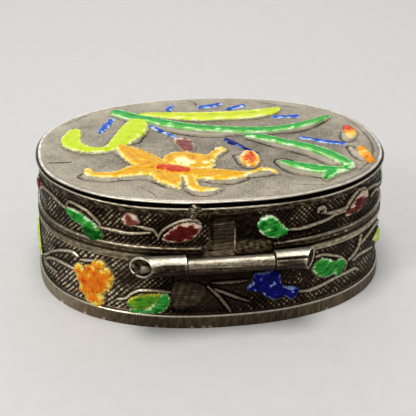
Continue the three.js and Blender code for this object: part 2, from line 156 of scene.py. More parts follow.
def scatter(i, j):
    """A number from 0 to 1 for each pair of whole numbers, with no pattern to it."""
    return np.mod(np.sin(i * 12.9898 + j * 78.233) * 43758.5453, 1.0)


def ease(low, high, value):
    """0 up to low, 1 from high on, and smooth between."""
    part = np.clip((value - low) / (high - low), 0, 1)
    return part * part * (3 - 2 * part)


def dome(part):
    """Height of a quarter round: 0 at 0 and 1 from 1 on."""
    return np.sqrt(1 - (1 - np.clip(part, 0, 1)) ** 2)


def hump(value, middle, width):
    """A bell: 1 at the middle, and falling to 0 within about two widths on both sides."""
    return np.exp(-(((value - middle) / width) ** 2))


def span(value, start, full, fading, end):
    """0 up to start, 1 from full to fading, and 0 again from end on."""
    return ease(start, full, value) * ease(end, fading, value)


# ---- strokes and outlines ----
FAR = 9.0  # stands for any distance that is too far to matter
MARGIN = 1.4  # how far round a shape the points that read it lie
CURVE_STEP = 0.22  # length of the straight runs in a curve
THINNEST = 0.04  # no stroke is narrower than this


def smooth(points, closed=False):
    """A Catmull-Rom curve through rows of numbers; the first two of each are its place."""
    points = np.asarray(points, float)
    if closed:
        padded = np.vstack([points[-1], points, points[:2]])
    else:
        padded = np.vstack([2 * points[0] - points[1], points, 2 * points[-1] - points[-2]])
    curve = []
    for a, b, c, d in zip(padded, padded[1:], padded[2:], padded[3:]):
        count = max(2, int(np.hypot(*(c - b)[:2]) / CURVE_STEP))
        t = np.linspace(0, 1, count, endpoint=False)[:, None]
        curve.append(0.5 * (2 * b + (c - a) * t + (2 * a - 5 * b + 4 * c - d) * t**2
                            + (3 * b - a - 3 * c + d) * t**3))
    if not closed:
        curve.append(padded[-2:-1])
    return np.vstack(curve)


class Field:
    """What a shape says about points: distance to its edge (below 0 inside), run along it and side."""

    def __init__(self, shape):
        self.distance = np.full(shape, FAR)
        self.run = np.zeros(shape)
        self.side = np.zeros(shape)

    def take(self, where, distance, run, side):
        """Keeps the new readings where they are nearer."""
        nearer = distance < self.distance[where]
        for mine, new in ((self.distance, distance), (self.run, run), (self.side, side)):
            held = mine[where]
            held[nearer] = new[nearer]
            mine[where] = held


def near(u, v, curve):
    """Which points lie within the margin round a curve."""
    low = curve[:, :2].min(0) - MARGIN
    high = curve[:, :2].max(0) + MARGIN
    return (u > low[0]) & (u < high[0]) & (v > low[1]) & (v < high[1])


def add_stroke(field, u, v, stroke):
    """A line with a width at each of its points."""
    curve = smooth(stroke)
    where = near(u, v, curve)
    if not where.any():
        return
    pu, pv = u[where], v[where]
    half = np.maximum(curve[:, 2], THINNEST) / 2
    walked = 0.0
    part = Field(pu.shape)
    everywhere = np.ones(pu.shape, bool)
    for (u0, v0), (u1, v1), w0, w1 in zip(curve[:, :2], curve[1:, :2], half, half[1:]):
        du, dv = u1 - u0, v1 - v0
        length = math.hypot(du, dv)
        if length < 1e-6:
            continue
        t = np.clip(((pu - u0) * du + (pv - v0) * dv) / length**2, 0, 1)
        off_u, off_v = pu - u0 - t * du, pv - v0 - t * dv
        width = w0 + t * (w1 - w0)
        side = (off_v * du - off_u * dv) / length / width
        part.take(everywhere, np.hypot(off_u, off_v) - width, walked + t * length, side)
        walked += length
    field.take(where, part.distance, part.run, part.side)


def add_outline(field, u, v, outline):
    """An area inside a closed line."""
    curve = smooth(outline, closed=True)
    where = near(u, v, curve)
    if not where.any():
        return
    pu, pv = u[where], v[where]
    gap = np.full(pu.shape, FAR)
    inside = np.zeros(pu.shape, bool)
    for (u0, v0), (u1, v1) in zip(curve, np.roll(curve, -1, axis=0)):
        du, dv = u1 - u0, v1 - v0
        t = np.clip(((pu - u0) * du + (pv - v0) * dv) / max(du * du + dv * dv, 1e-9), 0, 1)
        gap = np.minimum(gap, np.hypot(pu - u0 - t * du, pv - v0 - t * dv))
        if v0 != v1:
            inside ^= ((v0 > pv) != (v1 > pv)) & (pu < du * (pv - v0) / dv + u0)
    middle = curve.mean(0)
    run = np.hypot(pu - middle[0], pv - middle[1])
    field.take(where, np.where(inside, -gap, gap), run, np.zeros(pu.shape))


def field_of(u, v, strokes=(), outlines=(), wrapped=False):
    """The readings of all these strokes and outlines together; wrapped, u runs round the outline."""
    field = Field(u.shape)
    for shapes, add in ((strokes, add_stroke), (outlines, add_outline)):
        for shape in shapes:
            middle = np.mean([point[0] for point in shape])
            here = from_hinge(u - middle) + middle if wrapped else u
            add(field, here, v, shape)
    return field


# ---- relief on the plate: strokes are rows of right, away, width ----
class Cell:
    """One enamelled cell: its enamel, its strokes and outlines, and how far it stands out.

    veins is the depth of the grooves along it, and lay says how its tone is spread over it. pale lists spots
    where the tone is lighter, chips and thin places and painted glints, as rows of place, place, radius and
    strength."""

    def __init__(self, enamel, strokes=(), outlines=(), high=0.38, veins=0.0, lay="depth", pale=()):
        self.enamel = enamel
        self.strokes = strokes
        self.outlines = outlines
        self.high = high
        self.veins = veins
        self.lay = lay
        self.pale = pale


CURLED_LEAF = [(-17.4, 6.9, 1.8), (-18, 4.6, 2.4), (-17.8, 2.6, 2.5), (-16.7, 1.1, 2.0), (-14.9, 0.3, 1.6),
               (-13.2, 0.7, 1.7), (-12, 2.2, 2.4), (-10.8, 4.3, 3.3), (-9.6, 6.8, 3.6), (-8.8, 9.3, 2.8)]
LONG_LEAF = [(-11.2, 13.4, 2.1), (-9.5, 11.7, 2.4), (-7, 10.1, 2), (-4.5, 8.3, 2.2), (-2, 6.9, 2.2),
             (1, 5.8, 2), (4, 5, 2), (7, 4.6, 1.9), (10, 4.7, 1.7), (13, 5.6, 1.6), (15.5, 6.9, 1.4),
             (17.8, 8.5, 0.6)]
YELLOW_LEAF = [(-7.8, 12.3, 0.9), (-5, 11.7, 1.8), (-1, 10.7, 2.8), (3, 10.4, 3.0), (7, 10.6, 2.8),
               (9.8, 11.3, 2.2), (11.5, 12.3, 0.8)]
BENT_LEAF = [(5.4, 2.7, 1.2), (7, 2, 1.8), (9.5, 0, 1.7), (12, -1.9, 1.9), (14, -4, 2), (15.3, -6.3, 1.8),
             (16, -8.4, 1.5), (15.4, -9.2, 0.9)]
LOBE = [(8.1, -6.5, 1), (9.5, -7.6, 1.6), (11.5, -8.9, 2.2), (13.5, -9.7, 2.0), (15, -9.7, 1.2)]
LOBE_TIP = [(13.6, -9.8, 1.9), (12.9, -10.8, 1.6), (12.2, -11.7, 0.8)]
FLOWER_STROKES = [
    [(-11.8, 1.2, 1.4), (-10.8, -0.6, 2.8), (-9.9, -2.4, 3.7), (-8.8, -4.2, 3.8), (-7.4, -5.8, 3.3)],
    [(-16.2, -5.8, 0.8), (-16.2, -6.8, 1.1), (-14.3, -7.6, 1.4), (-12.5, -7.5, 1.8), (-10.5, -6.7, 3),
     (-8.5, -6.4, 3.8)],
    [(-0.9, -4, 1.5), (0, -2.6, 1.4), (0.9, -1.5, 1.5)],
    [(-4, -8.3, 3), (-2, -8.8, 3.2), (0, -9.4, 3), (1.8, -9.5, 1.9), (2.8, -9.5, 0.9)],
    [(2.2, -9.7, 0.9), (3.6, -9, 0.8), (5, -8.3, 0.8), (6, -8.7, 0.7), (6.5, -9.5, 0.5)],
    [(-7.2, -7.2, 3.6), (-6.8, -9.3, 3.3), (-6, -12.2, 0.6)],
    [(-4.2, -9, 1.4), (-4.2, -11, 1.4), (-4.1, -12.4, 1.5), (-3.3, -13.2, 1.2), (-1.8, -13.3, 0.7)],
    [(-8.5, -6.4, 2.8), (-6, -7, 3), (-3.8, -8, 3)],
]
TOP_PETAL = [(-6.4, -2.6), (-5.5, -1.8), (-4.2, -1.7), (-3, -2.2), (-1.6, -2.9), (-0.5, -3.5), (-0.4, -5),
             (-0.8, -6.5), (-1.6, -7.4), (-3, -7.3), (-4.5, -6.4), (-6, -5.6), (-6.9, -4.6)]
DASHES = [
    [(-14, 6.9, 0.9), (-13.2, 8.6, 1.1), (-12.1, 11.2, 0.9)],
    [(-4, 14, 0.9), (-3.3, 15.6, 0.6)],
    [(0.8, 14.6, 1), (2.2, 14.8, 1.3), (3.5, 15.4, 0.9)],
    [(4.6, 13.3, 0.9), (5.7, 13.9, 1.1), (6.9, 14.5, 0.8)],
    [(10.5, 9.3, 1.2), (12, 9.3, 0.9), (13.4, 9.3, 1.2)],
    [(-6.9, 7.7, 0.9), (-5.4, 5.3, 0.6), (-3.8, 3.1, 0.5)],
    [(2.2, 2.2, 0.8), (2.9, 0.9, 1.2), (3.6, -0.3, 0.9), (4.2, -1.3, 0.6), (5.5, -3.1, 0.5)],
    [(12.5, 1.2, 1.1), (13.4, 0.8, 0.8), (14.6, -0.1, 1.1), (17.2, -1.3, 1)],
]
TOP_CELLS = {
    "top_leaf_curled": Cell("chartreuse", [CURLED_LEAF], lay="soft"),
    "top_leaf_long": Cell("leaf_green", [LONG_LEAF], lay="midline",
                          pale=[(1.7, 5.3, 0.4, 0.5), (11.8, 4.8, 0.3, 0.4), (-4.4, 8.1, 0.4, 0.3)]),
    "top_leaf_yellow": Cell("yellow", [YELLOW_LEAF], lay="midline", pale=[(8.4, 11.2, 0.4, 0.4)]),
    "top_leaf_bent": Cell("leaf_green", [BENT_LEAF], lay="midline",
                          pale=[(5.9, 2.2, 0.4, 0.4), (16, -8.8, 0.8, 0.4), (8.2, 0.4, 0.3, 0.3)]),
    "top_leaf_lobe": Cell("leaf_green", [LOBE, LOBE_TIP], lay="midline", pale=[(14.3, -9.8, 0.8, 0.3)]),
    "top_bud": Cell("rose", [[(-3.7, 2.3, 1.9), (-3.3, 0.9, 2.2), (-3.4, -1.1, 1.5)]],
                    pale=[(-4, 2.6, 0.9, 0.6), (-2.7, 1.9, 0.4, 0.5)]),
    "top_berry_red": Cell("berry", [[(4.3, -3.3, 1.8), (4.1, -4.9, 2.6), (3.8, -6.4, 1.9)]], lay="core",
                          pale=[(3.4, -3.4, 0.7, 0.4), (4.9, -6.6, 0.3, 0.7), (3.5, -6.2, 0.25, 0.7)]),
    "top_berry_far": Cell("berry", [[(19.3, 4, 1.2), (19.2, 2.2, 1.7), (18.8, 0.5, 1)]], lay="away"),
    "top_berry_near": Cell("berry", [[(19.1, -3.2, 1), (19, -5, 1.5), (19.1, -7.2, 1.1)]], lay="run"),
    "top_flower": Cell("orange", FLOWER_STROKES, [TOP_PETAL], high=0.36, veins=0.04, lay="petal",
                       pale=[(-4.4, -4.6, 1.0, 0.9), (-3.8, -5.6, 0.8, 0.9), (-1.6, -5.9, 0.45, 0.8),
                             (-0.9, -5.2, 0.3, 0.7), (0.6, -1.6, 0.5, 0.5), (2.8, -9.9, 0.3, 0.7)]),
}
for number, dash in enumerate(DASHES, 1):
    TOP_CELLS[f"top_dash_{number}"] = Cell("dark_blue" if number == 7 else "blue", [dash], high=0.2)
HEART = Cell("red", [[(-7.2, -6.4, 1.9), (-5.8, -7.1, 2.3), (-4.4, -7.7, 1.5)]], high=0.16)

# Silver swellings that the cells stand on, wider than the enamel on the side towards the hinge.
SWELLINGS = [
    [(-8.4, 9.9, 1.2), (-6.4, 8.2, 2.2), (-3.6, 6.3, 3.2), (0, 4.7, 3.6), (4, 4.2, 2.8), (9, 3.9, 2.4),
     (13, 4.7, 2.6), (17, 7.5, 1.2)],
    [(6.2, 1.4, 1.6), (9.2, -1.3, 2.3), (12.4, -4.1, 2.5), (14.4, -7.2, 2.4)],
    [(8.1, -6.6, 2), (9.4, -8.9, 3), (11.7, -10.7, 2)],
    [(-16.7, -7.9, 1.4), (-14.6, -8.9, 1.4), (-12.8, -8.9, 1.1)],
    [(-12.2, -8.9, 1), (-9.6, -8.8, 1.7), (-7.9, -10.2, 1.5), (-7, -11.9, 1)],
    [(-4.6, -12.9, 1.5), (-4, -14, 1.5), (-2.6, -14.2, 1.6), (-1.4, -13.5, 1.4)],
    [(-1.5, -11.1, 1.4), (0.6, -11.4, 1.5), (2.2, -11, 1)],
    [(3.4, -10.1, 1.2), (4.6, -10, 1.4), (5.8, -9.9, 1)],
    [(-12.7, 0.7, 1.2), (-12, -1.6, 1.3), (-11, -3.5, 1)],
    [(-9.6, 2.4, 1), (-9, 5, 1.2), (-8.4, 7.4, 0.9)],
    [(18.6, 1.2, 1.6), (18.3, -0.4, 1.7)],
    [(17.9, -3.2, 0.9), (18, -5.4, 1.2), (18.3, -7, 1)],
    [(2.8, -4.2, 1), (3, -6.2, 1.2)],
]
SCRATCHES = [
    [(-21.4, -3.4, 0.1), (-20.6, -3.2, 0.2), (-18.6, -3.25, 0.3), (-18.2, -3.1, 0.1)],
    [(-0.6, 17, 0.06), (0.2, 15.6, 0.14), (0.3, 13.6, 0.08)],
    [(9, 15.4, 0.05), (13.5, 12.6, 0.09), (15, 11.9, 0.05)],
    [(-19.2, 9.2, 0.05), (-15.8, 12.3, 0.09), (-15.2, 13.1, 0.05)],
    [(-10.4, -11.6, 0.05), (-9, -13.9, 0.08), (-8.8, -14.8, 0.04)],
    [(7.5, -13.2, 0.04), (11, -13.9, 0.08), (12.6, -13.4, 0.04)],
]
PLATFORM = 0.12  # height of the swelling under the cells
SWELLING_SHIFT = 0.6  # how far the swelling leans towards the hinge side
CELL_SHIFT = 0.45  # how far the cells themselves do
DRAWING_SHIFT = 0.7  # how far the whole drawing lies from the plate's middle towards the hinge


def plate_relief(right, away):
    """Height of the plate's face over its plane, and its wear with some painted shadow, before the rim is
    turned down.
    """
    away = away + DRAWING_SHIFT
    # The swellings under the cells: raised, with a chased line round them that fades in and out. The line is
    # darkened as tarnish in its groove, and is cut deeper and painted darker on the side towards the hinge,
    # as the swelling's shadow.
    strokes = [s for name, c in TOP_CELLS.items() if "dash" not in name for s in c.strokes]
    cells = field_of(right, away + CELL_SHIFT, strokes, [TOP_PETAL])
    shifted = field_of(right, away + SWELLING_SHIFT, strokes, [TOP_PETAL])
    wide = field_of(right, away, SWELLINGS)
    swell = np.minimum(shifted.distance - 0.16, wide.distance)
    jagged = swell + 0.05 * ripple(right, away, 0.5, 3)
    height = PLATFORM * ease(0.06, -0.42, jagged)
    chased = hump(jagged, 0.12, 0.1)
    shadowed_side = ease(0.25, -0.1, wide.distance - shifted.distance)
    strength = (ease(-0.9, 0.5, ripple(right, away, 4, 4)) * 0.75 + 0.25) * (0.3 + 0.7 * shadowed_side)
    height -= 0.09 * chased * strength
    wear_and_painted_light = 0.5 - 0.42 * chased * strength + 0.12 * ease(0, -0.3, jagged)
    # A rubbed lip of silver round each cell, a few scratches, and the sheet's own unevenness.
    lip = hump(cells.distance, 0.08, 0.08)
    height += 0.03 * lip
    wear_and_painted_light += 0.14 * lip * (0.6 + 0.4 * ripple(right, away, 0.4, 5))
    marks = field_of(right, away, SCRATCHES)
    cut = ease(0.05, -0.06, marks.distance)
    height -= 0.07 * cut
    wear_and_painted_light -= 0.45 * cut
    height += 0.035 * ripple(right, away, 9, 6) + 0.008 * ripple(right, away, 1.6, 7)
    return height, wear_and_painted_light


def plate_grid(count):
    """Rows and columns over the oval: places as shares of its half sizes, and how far out each lies."""
    line = np.linspace(-1, 1, count + 1)
    a, b = np.meshgrid(line, line)
    wide = np.abs(a) >= np.abs(b)
    share = np.where(wide, np.abs(a), np.abs(b))
    safe = np.maximum(share, 1e-9)
    turn = np.where(wide, np.pi / 4 * b / safe * np.sign(a), np.pi / 4 * a / safe * np.sign(b))
    cosine = np.where(wide, np.cos(turn) * np.sign(a), np.sin(turn) * np.sign(b))
    sine = np.where(wide, np.sin(turn) * np.sign(a), np.cos(turn) * np.sign(b))
    power = 2 / ROUNDNESS
    x = share * np.sign(cosine) * np.abs(cosine) ** power
    y = share * np.sign(sine) * np.abs(sine) ** power
    return x, y, share


# ---- relief on the walls: strokes are rows of along, up, width ----
def line(width, *points):
    """A stroke of one width, thinner at its two ends."""
    ends = (0, len(points) - 1)
    return [(u, v, width * (0.6 if i in ends else 1)) for i, (u, v) in enumerate(points)]


LIGHT_HALF = [(-12.6, 2.8), (-12.2, 3.7), (-10.5, 4.4), (-9, 4.6), (-8.3, 4.5), (-9, 3.5), (-10.2, 2.5),
              (-11.6, 2.2)]
DARK_HALF = [(-8.3, 4.7), (-7.4, 4), (-8, 2.5), (-9.2, 1.9), (-12, 1.75), (-12.3, 2.2), (-10.6, 2.3),
             (-9.3, 3.3)]
ORANGE_FLOWER = [(-20.1, 5.9), (-19.6, 6.7), (-18.9, 6.9), (-18.5, 6.4), (-18, 6), (-18.3, 6.6), (-17.8, 7.1),
                 (-17.4, 7.1), (-17.3, 6.7), (-17.1, 7.6), (-16.6, 8), (-15.9, 8.1), (-15.3, 7.7), (-15.7, 7),
                 (-15.1, 7.4), (-14.8, 7.2), (-14.5, 6.3), (-14.3, 6), (-14.6, 5.3), (-14.8, 4.7),
                 (-15.6, 3.7), (-16.1, 3.6), (-15.6, 3), (-16, 2), (-16.8, 1.6), (-17.8, 1.9), (-18.4, 2.2),
                 (-18.1, 2.8), (-18.6, 2.8), (-19.1, 3.4), (-19.2, 4.1), (-19.7, 4.9), (-19.7, 5.5)]
BLUE_FLOWER = [(1.8, 5.2), (2.5, 6), (2.6, 7), (4, 7.1), (5, 7.2), (5.8, 6.6), (6, 5.5), (6.5, 4.8),
               (7.7, 4.5), (8.4, 4.1), (8.2, 3.4), (7.5, 2.7), (6.8, 3.3), (5, 3.2), (4.2, 3.8),
               (3, 4.6), (2.2, 4.7)]


def moved(outline, right):
    """The same outline further to the right."""
    return [(u + right, v) for u, v in outline]


def leaf(start, middle, end, width):
    """A pointed leaf along three points."""
    return [(*start, 0.25), (*middle, width), (*end, 0.25)]


def outlined(enamel, *outline, **more):
    """A cell with one outline."""
    return Cell(enamel, outlines=[outline], **more)


LID_CELLS = {
    "lid_leaf_1": outlined(
        "green", (-21.3, 13.5), (-20, 13.95), (-18, 13.4), (-16.8, 12.8), (-16.6, 12.2), (-18, 12.1),
        (-20, 12.4), veins=0.03),
    "lid_leaf_1_lobe": outlined(
        "dark_green", (-18.6, 12.1), (-17.2, 12.3), (-16.2, 12.1), (-15.8, 11.4), (-16.4, 10.7),
        (-17.2, 10.45), (-18.3, 11.2), high=0.46),
    "lid_berry_1": outlined(
        "rose", (-13.2, 14.3), (-12.4, 15), (-11.4, 14.7), (-11.2, 13.8), (-12, 13.3), (-12.9, 13.6),
        pale=[(-12.8, 14.2, 0.5, 0.8), (-11.6, 14.6, 0.3, 0.6)]),
    "lid_leaf_2": outlined(
        "maroon", (-8.3, 11.8), (-5.5, 11.8), (-4.1, 12.9), (-3.9, 13.9), (-5.9, 14.1), (-7.6, 13.1),
        pale=[(-4.4, 13.8, 0.5, 0.7), (-5.6, 14, 0.5, 0.6), (-6.8, 13.6, 0.4, 0.5), (-7.9, 12, 0.3, 0.5)]),
    "lid_leaf_3": outlined(
        "green", (2.9, 13.9), (4, 14.6), (5, 14.3), (5.6, 13.5), (6.6, 12.4), (6.2, 11.9), (5, 11.6),
        (3.5, 12.2), (3, 13),
        veins=0.03),
    "lid_leaf_4": outlined(
        "maroon", (15.2, 12.4), (16, 13.3), (17.4, 14.4), (19.2, 14.5), (19.3, 13.2), (18, 12.3), (16, 12.2),
        pale=[(17.8, 14.4, 0.5, 0.8), (18.9, 14.2, 0.6, 0.8)]),
    "lid_berry_2": Cell("maroon", [[(-30.4, 13.6, 1.2), (-29.4, 13.8, 1.6), (-28.6, 13.9, 1.1)]]),
    "lid_leaf_5": Cell("green", [leaf((27, 12), (29.4, 13.2), (32, 13.4), 1.6)], veins=0.03),
    "lid_leaf_6": Cell("maroon", [leaf((39.5, 12.2), (41.8, 13.1), (44, 13.7), 1.6)]),
    "lid_leaf_7": Cell("green", [leaf((51.5, 13.7), (54, 13.1), (56.4, 12.2), 1.7)], veins=0.03),
    "lid_berry_3": Cell("maroon", [[(64, 13.1, 1.2), (64.9, 13.2, 1.7), (65.8, 13.3, 1.2)]]),
    "lid_leaf_8": Cell("green", [leaf((-54.5, 12.2), (-52.2, 13.2), (-49.6, 13.6), 1.7)], veins=0.03),
    "lid_leaf_9": Cell("maroon", [leaf((-42.8, 13.6), (-40.4, 13), (-38.2, 12), 1.6)]),
}
BASE_CELLS = {
    "base_leaf_1": Cell("yellow_green", outlines=[LIGHT_HALF], high=0.4),
    "base_leaf_1_dark": Cell("green", outlines=[DARK_HALF], high=0.44),
    "base_leaf_3": outlined(
        "green", (10.2, 6.3), (10.7, 7.2), (11.6, 7.5), (12.7, 7.1), (13.5, 6.5), (14.5, 6.7), (15.3, 6.1),
        (15.1, 5.2), (14.3, 4.2), (13.5, 4.8), (12.3, 4.7), (11.1, 5.2),
        veins=0.03),
    "base_leaf_4": Cell("chartreuse", [leaf((22, 6.4), (25.2, 5.6), (28.6, 3.8), 1.9)]),
    "base_leaf_5": Cell("chartreuse", [leaf((-35.5, 7), (-32.2, 5.6), (-29.4, 3.6), 1.9)]),
    "base_leaf_6": Cell("green", [leaf((37, 3.6), (39.6, 5), (42.4, 5.4), 2)], veins=0.03),
    "base_leaf_7": Cell("chartreuse", [leaf((57.5, 5.6), (60, 5), (62.6, 3.8), 1.9)]),
    "base_leaf_8": Cell("green", [leaf((-46, 5.4), (-43.4, 5), (-40.8, 3.6), 2)], veins=0.03),
    "base_flower_orange": Cell("marigold", outlines=[ORANGE_FLOWER], high=0.44, lay="bloom"),
    "base_flower_blue": Cell("dark_blue", outlines=[BLUE_FLOWER], high=0.42, veins=0.05,
                             pale=[(4.6, 5.2, 0.3, 0.6), (5.1, 5.5, 0.22, 0.8), (4.9, 5.8, 0.14, 0.9),
                                   (4.5, 5.7, 0.22, -0.5), (7.4, 4.2, 0.7, 0.36), (6.9, 4.6, 0.2, 0.8),
                                   (7.5, 3.9, 0.16, 0.8), (2.8, 4.8, 0.2, 0.6), (3.2, 6.7, 0.4, 0.3)]),
    "base_flower_front": Cell("marigold", outlines=[moved(ORANGE_FLOWER, 67.7)], high=0.44, lay="bloom"),
    "base_flower_front_blue": Cell("dark_blue", outlines=[moved(BLUE_FLOWER, -58.5)], high=0.42,
                                   veins=0.05, pale=[(-53.6, 5.4, 0.34, 0.7), (-50.7, 4.2, 0.6, 0.4)]),
}
# The leaf that has lost its enamel.
PLAIN_LEAF = outlined("silver", (-7, 6.3), (-5, 6.5), (-3.6, 6.1), (-3.1, 5.3), (-3.3, 4.3), (-4.4, 3.1),
                      (-7, 2.7))

LID_STEMS = [
    line(0.34, (-31, 13.6), (-28, 14), (-25, 14.3), (-23, 13.9), (-21.4, 13.5)),
    line(0.3, (-21.3, 13.6), (-20.8, 14.6), (-19.5, 14.55), (-17.8, 14.1), (-16.3, 13), (-16.1, 12.4)),
    line(0.36, (-16.4, 12.45), (-14.5, 12.4), (-12.5, 12.3), (-9.8, 12.65)),
    line(0.3, (-11.6, 13.4), (-10.5, 13.2), (-9.4, 12.95), (-9, 12.3)),
    line(0.3, (-8.9, 11.8), (-8.5, 12.8), (-7.6, 13.6), (-6.2, 14.3), (-4.6, 14.5), (-3.9, 14)),
    line(0.3, (2.4, 14.3), (3.3, 13.9)),
    line(0.36, (6.7, 12.3), (8.5, 12.15), (10.5, 12.35), (12.3, 12.6), (13.3, 12.95), (14.9, 12.95)),
    [(10.8, 13.9, 0.2), (10.9, 14.3, 0.4), (11.5, 14.3, 0.55), (11.7, 13.9, 0.4), (11.3, 13.7, 0.2)],
    line(0.34, (11.5, 13.7), (12.2, 13.4), (13.2, 13.35), (14.3, 13.3), (15, 13.4)),
    line(0.4, (15, 12.9), (15.8, 14), (17.3, 15), (18.6, 14.9), (19.4, 14.3)),
    line(0.34, (19.4, 14.4), (21, 14.3), (23.5, 13.6), (26, 12.8)),
    line(0.3, (20.8, 13), (21.6, 13.3), (22.8, 13.1), (24, 12.4)),
]
BASE_STEMS = [
    line(0.34, (-25.2, 6), (-23.6, 6.9), (-22, 7.6), (-20.4, 8), (-19.4, 7.7)),
    line(0.38, (-27, 4.2), (-25.7, 4.9), (-24, 5.5), (-22, 5.75), (-20.4, 5.7)),
    line(0.3, (-27.4, 3.5), (-25.5, 3.6), (-23.8, 3.75)),
    line(0.3, (-28.5, 4), (-26, 5.4), (-24, 7.2)),
    line(0.3, (-19, 7.4), (-18, 7.6), (-16.8, 7.9)),
    line(0.3, (-14, 3.2), (-12.9, 3.5), (-12.1, 4.3), (-11, 4.85), (-9, 5), (-7.4, 4.9)),
    line(0.36, (-3, 5.7), (-1.8, 4.4), (-0.8, 3), (-0.2, 2)),
    [(-2, 5.2, 0.25), (-0.8, 4.6, 0.4), (0.6, 3.9, 0.34), (2.2, 3.2, 0.12)],
    [(-2.4, 6.15, 0.12), (-1.4, 6.1, 0.34), (0.4, 6.1, 0.38), (1.9, 6.2, 0.12)],
    line(0.38, (8.4, 3.6), (10, 3.4), (12, 3.7), (14.2, 4.1), (16.6, 4.1), (17.4, 4.1), (18.2, 3.6)),
    line(0.3, (10.6, 7.9), (11.6, 8), (13, 7.5), (14.5, 6.8), (15.6, 5.6), (15.3, 4.7)),
    line(0.34, (16, 5.8), (17.2, 6.4), (18, 7.2), (18.3, 8.7)),
    line(0.38, (18.3, 7.3), (20, 7.8), (22, 8.15), (24, 7.9), (26.5, 6.8), (29, 5)),
    line(0.34, (17, 5.5), (18.2, 5.8), (20, 5.6), (22, 5.2)),
]


def hidden_stems():
    """Vine stems on the sides away from the hinge: each wanders past the cells it carries."""
    lid = [
        line(0.36, (31.8, 13.5), (34, 13.9), (36.6, 13), (39.4, 12.3)),
        line(0.36, (44, 13.7), (46.4, 14.2), (49, 14), (51.5, 13.7)),
        line(0.36, (56.3, 12.3), (58.8, 12.1), (61.5, 12.6), (64, 13.1)),
        line(0.36, (65.8, 13.3), (68.6, 13.4), (71.5, 12.4), (74.6, 12.2)),
        line(0.36, (79.4, 13.6), (81.8, 14.3), (84, 14.1), (86.4, 13.6)),
        line(0.36, (90.9, 12.1), (93.4, 12), (96.2, 12.8), (98.8, 13.5)),
    ]
    base = [
        line(0.38, (28.4, 4), (31, 3.2), (34, 3.1), (37, 3.7)),
        line(0.38, (42.3, 5.4), (44.5, 6.2), (46.8, 6.3), (48, 6)),
        line(0.38, (53.2, 5.6), (54.8, 6.6), (56.4, 6.4), (57.6, 5.6)),
        line(0.38, (62.5, 3.9), (65, 2.9), (68, 3.2), (70.6, 4.6)),
        line(0.38, (78.7, 3.7), (80.3, 4.4), (81.6, 5), (83.2, 5.3)),
        line(0.38, (88.4, 3.7), (90.6, 4), (92.4, 5.4), (93.8, 6.8)),
    ]
    # Rows of along, up, and 1 for a curl upwards or -1 for one downwards.
    lid_curls = ((35, 13.6, -1), (47.4, 14.1, -1), (60, 12.2, 1), (70, 13, -1), (82.6, 14.2, -1),
                 (94.6, 12.3, 1))
    base_curls = ((32.6, 3.1, 1), (45.4, 6.3, -1), (55.4, 6.6, 1), (67, 3, 1), (81, 4.6, 1), (91, 4.2, 1))
    for stems, curls, size in ((lid, lid_curls, 0.75), (base, base_curls, 1.3)):
        stems += [curl(start, up, size * way) for start, up, way in curls]
    return lid, base


def curl(along, up, size):
    """A tendril that leaves a stem and rolls up: upwards, or downwards where its size is below 0."""
    steps = 9
    whole_turn = 1.6 * math.pi
    tightening = 0.62
    points = []
    for i in range(steps):
        part = i / (steps - 1)
        turn = whole_turn * part
        radius = abs(size) * (1 - tightening * part)
        points.append((along + radius * math.sin(turn),
                       up + size - math.copysign(radius * math.cos(turn), size)))
    return line(0.28, *points)


HIDDEN_LID_STEMS, HIDDEN_BASE_STEMS = hidden_stems()


def hatch(along, up, pitch):
    """Crossed chasing: 0 in its grooves and 1 on its lozenges, and a shade for each lozenge.

    Left of the hinge the lozenges are long dashes that rise to the right, and on its right they are short."""
    bent = from_hinge(along)
    wander = 0.1 * ripple(bent, up, 2.4, 11)
    rising = (up - bent + wander) / pitch / math.sqrt(2)
    falling = (up + bent - wander) / pitch / math.sqrt(2)
    rightward = ease(-6, 8, bent) * ease(60, 45, np.abs(bent)) + 0.5 * ease(45, 60, np.abs(bent))
    across_up = np.abs(np.sin(np.pi * rising)) ** (1.5 - 0.7 * rightward)
    across_down = np.abs(np.sin(np.pi * falling)) ** (0.5 + 0.7 * rightward)
    merged = 0.35 * span(bent, -50, -40, -18, -8)
    level = across_up * (merged + (1 - merged) * across_down)
    return level, scatter(np.floor(rising), np.floor(falling))


LID_PITCH = 0.47  # between the chased lines on the lid's wall
BASE_PITCH = 0.5  # and on the base's
RIDGE = 0.17  # how far stems and the silver round a cell stand out
SUNK = 0.07  # how far the chased ground is sunk
GROOVE = 0.11  # how deep its lines are cut below that
FADE = 0.12  # how high the step is at both edges of the ground


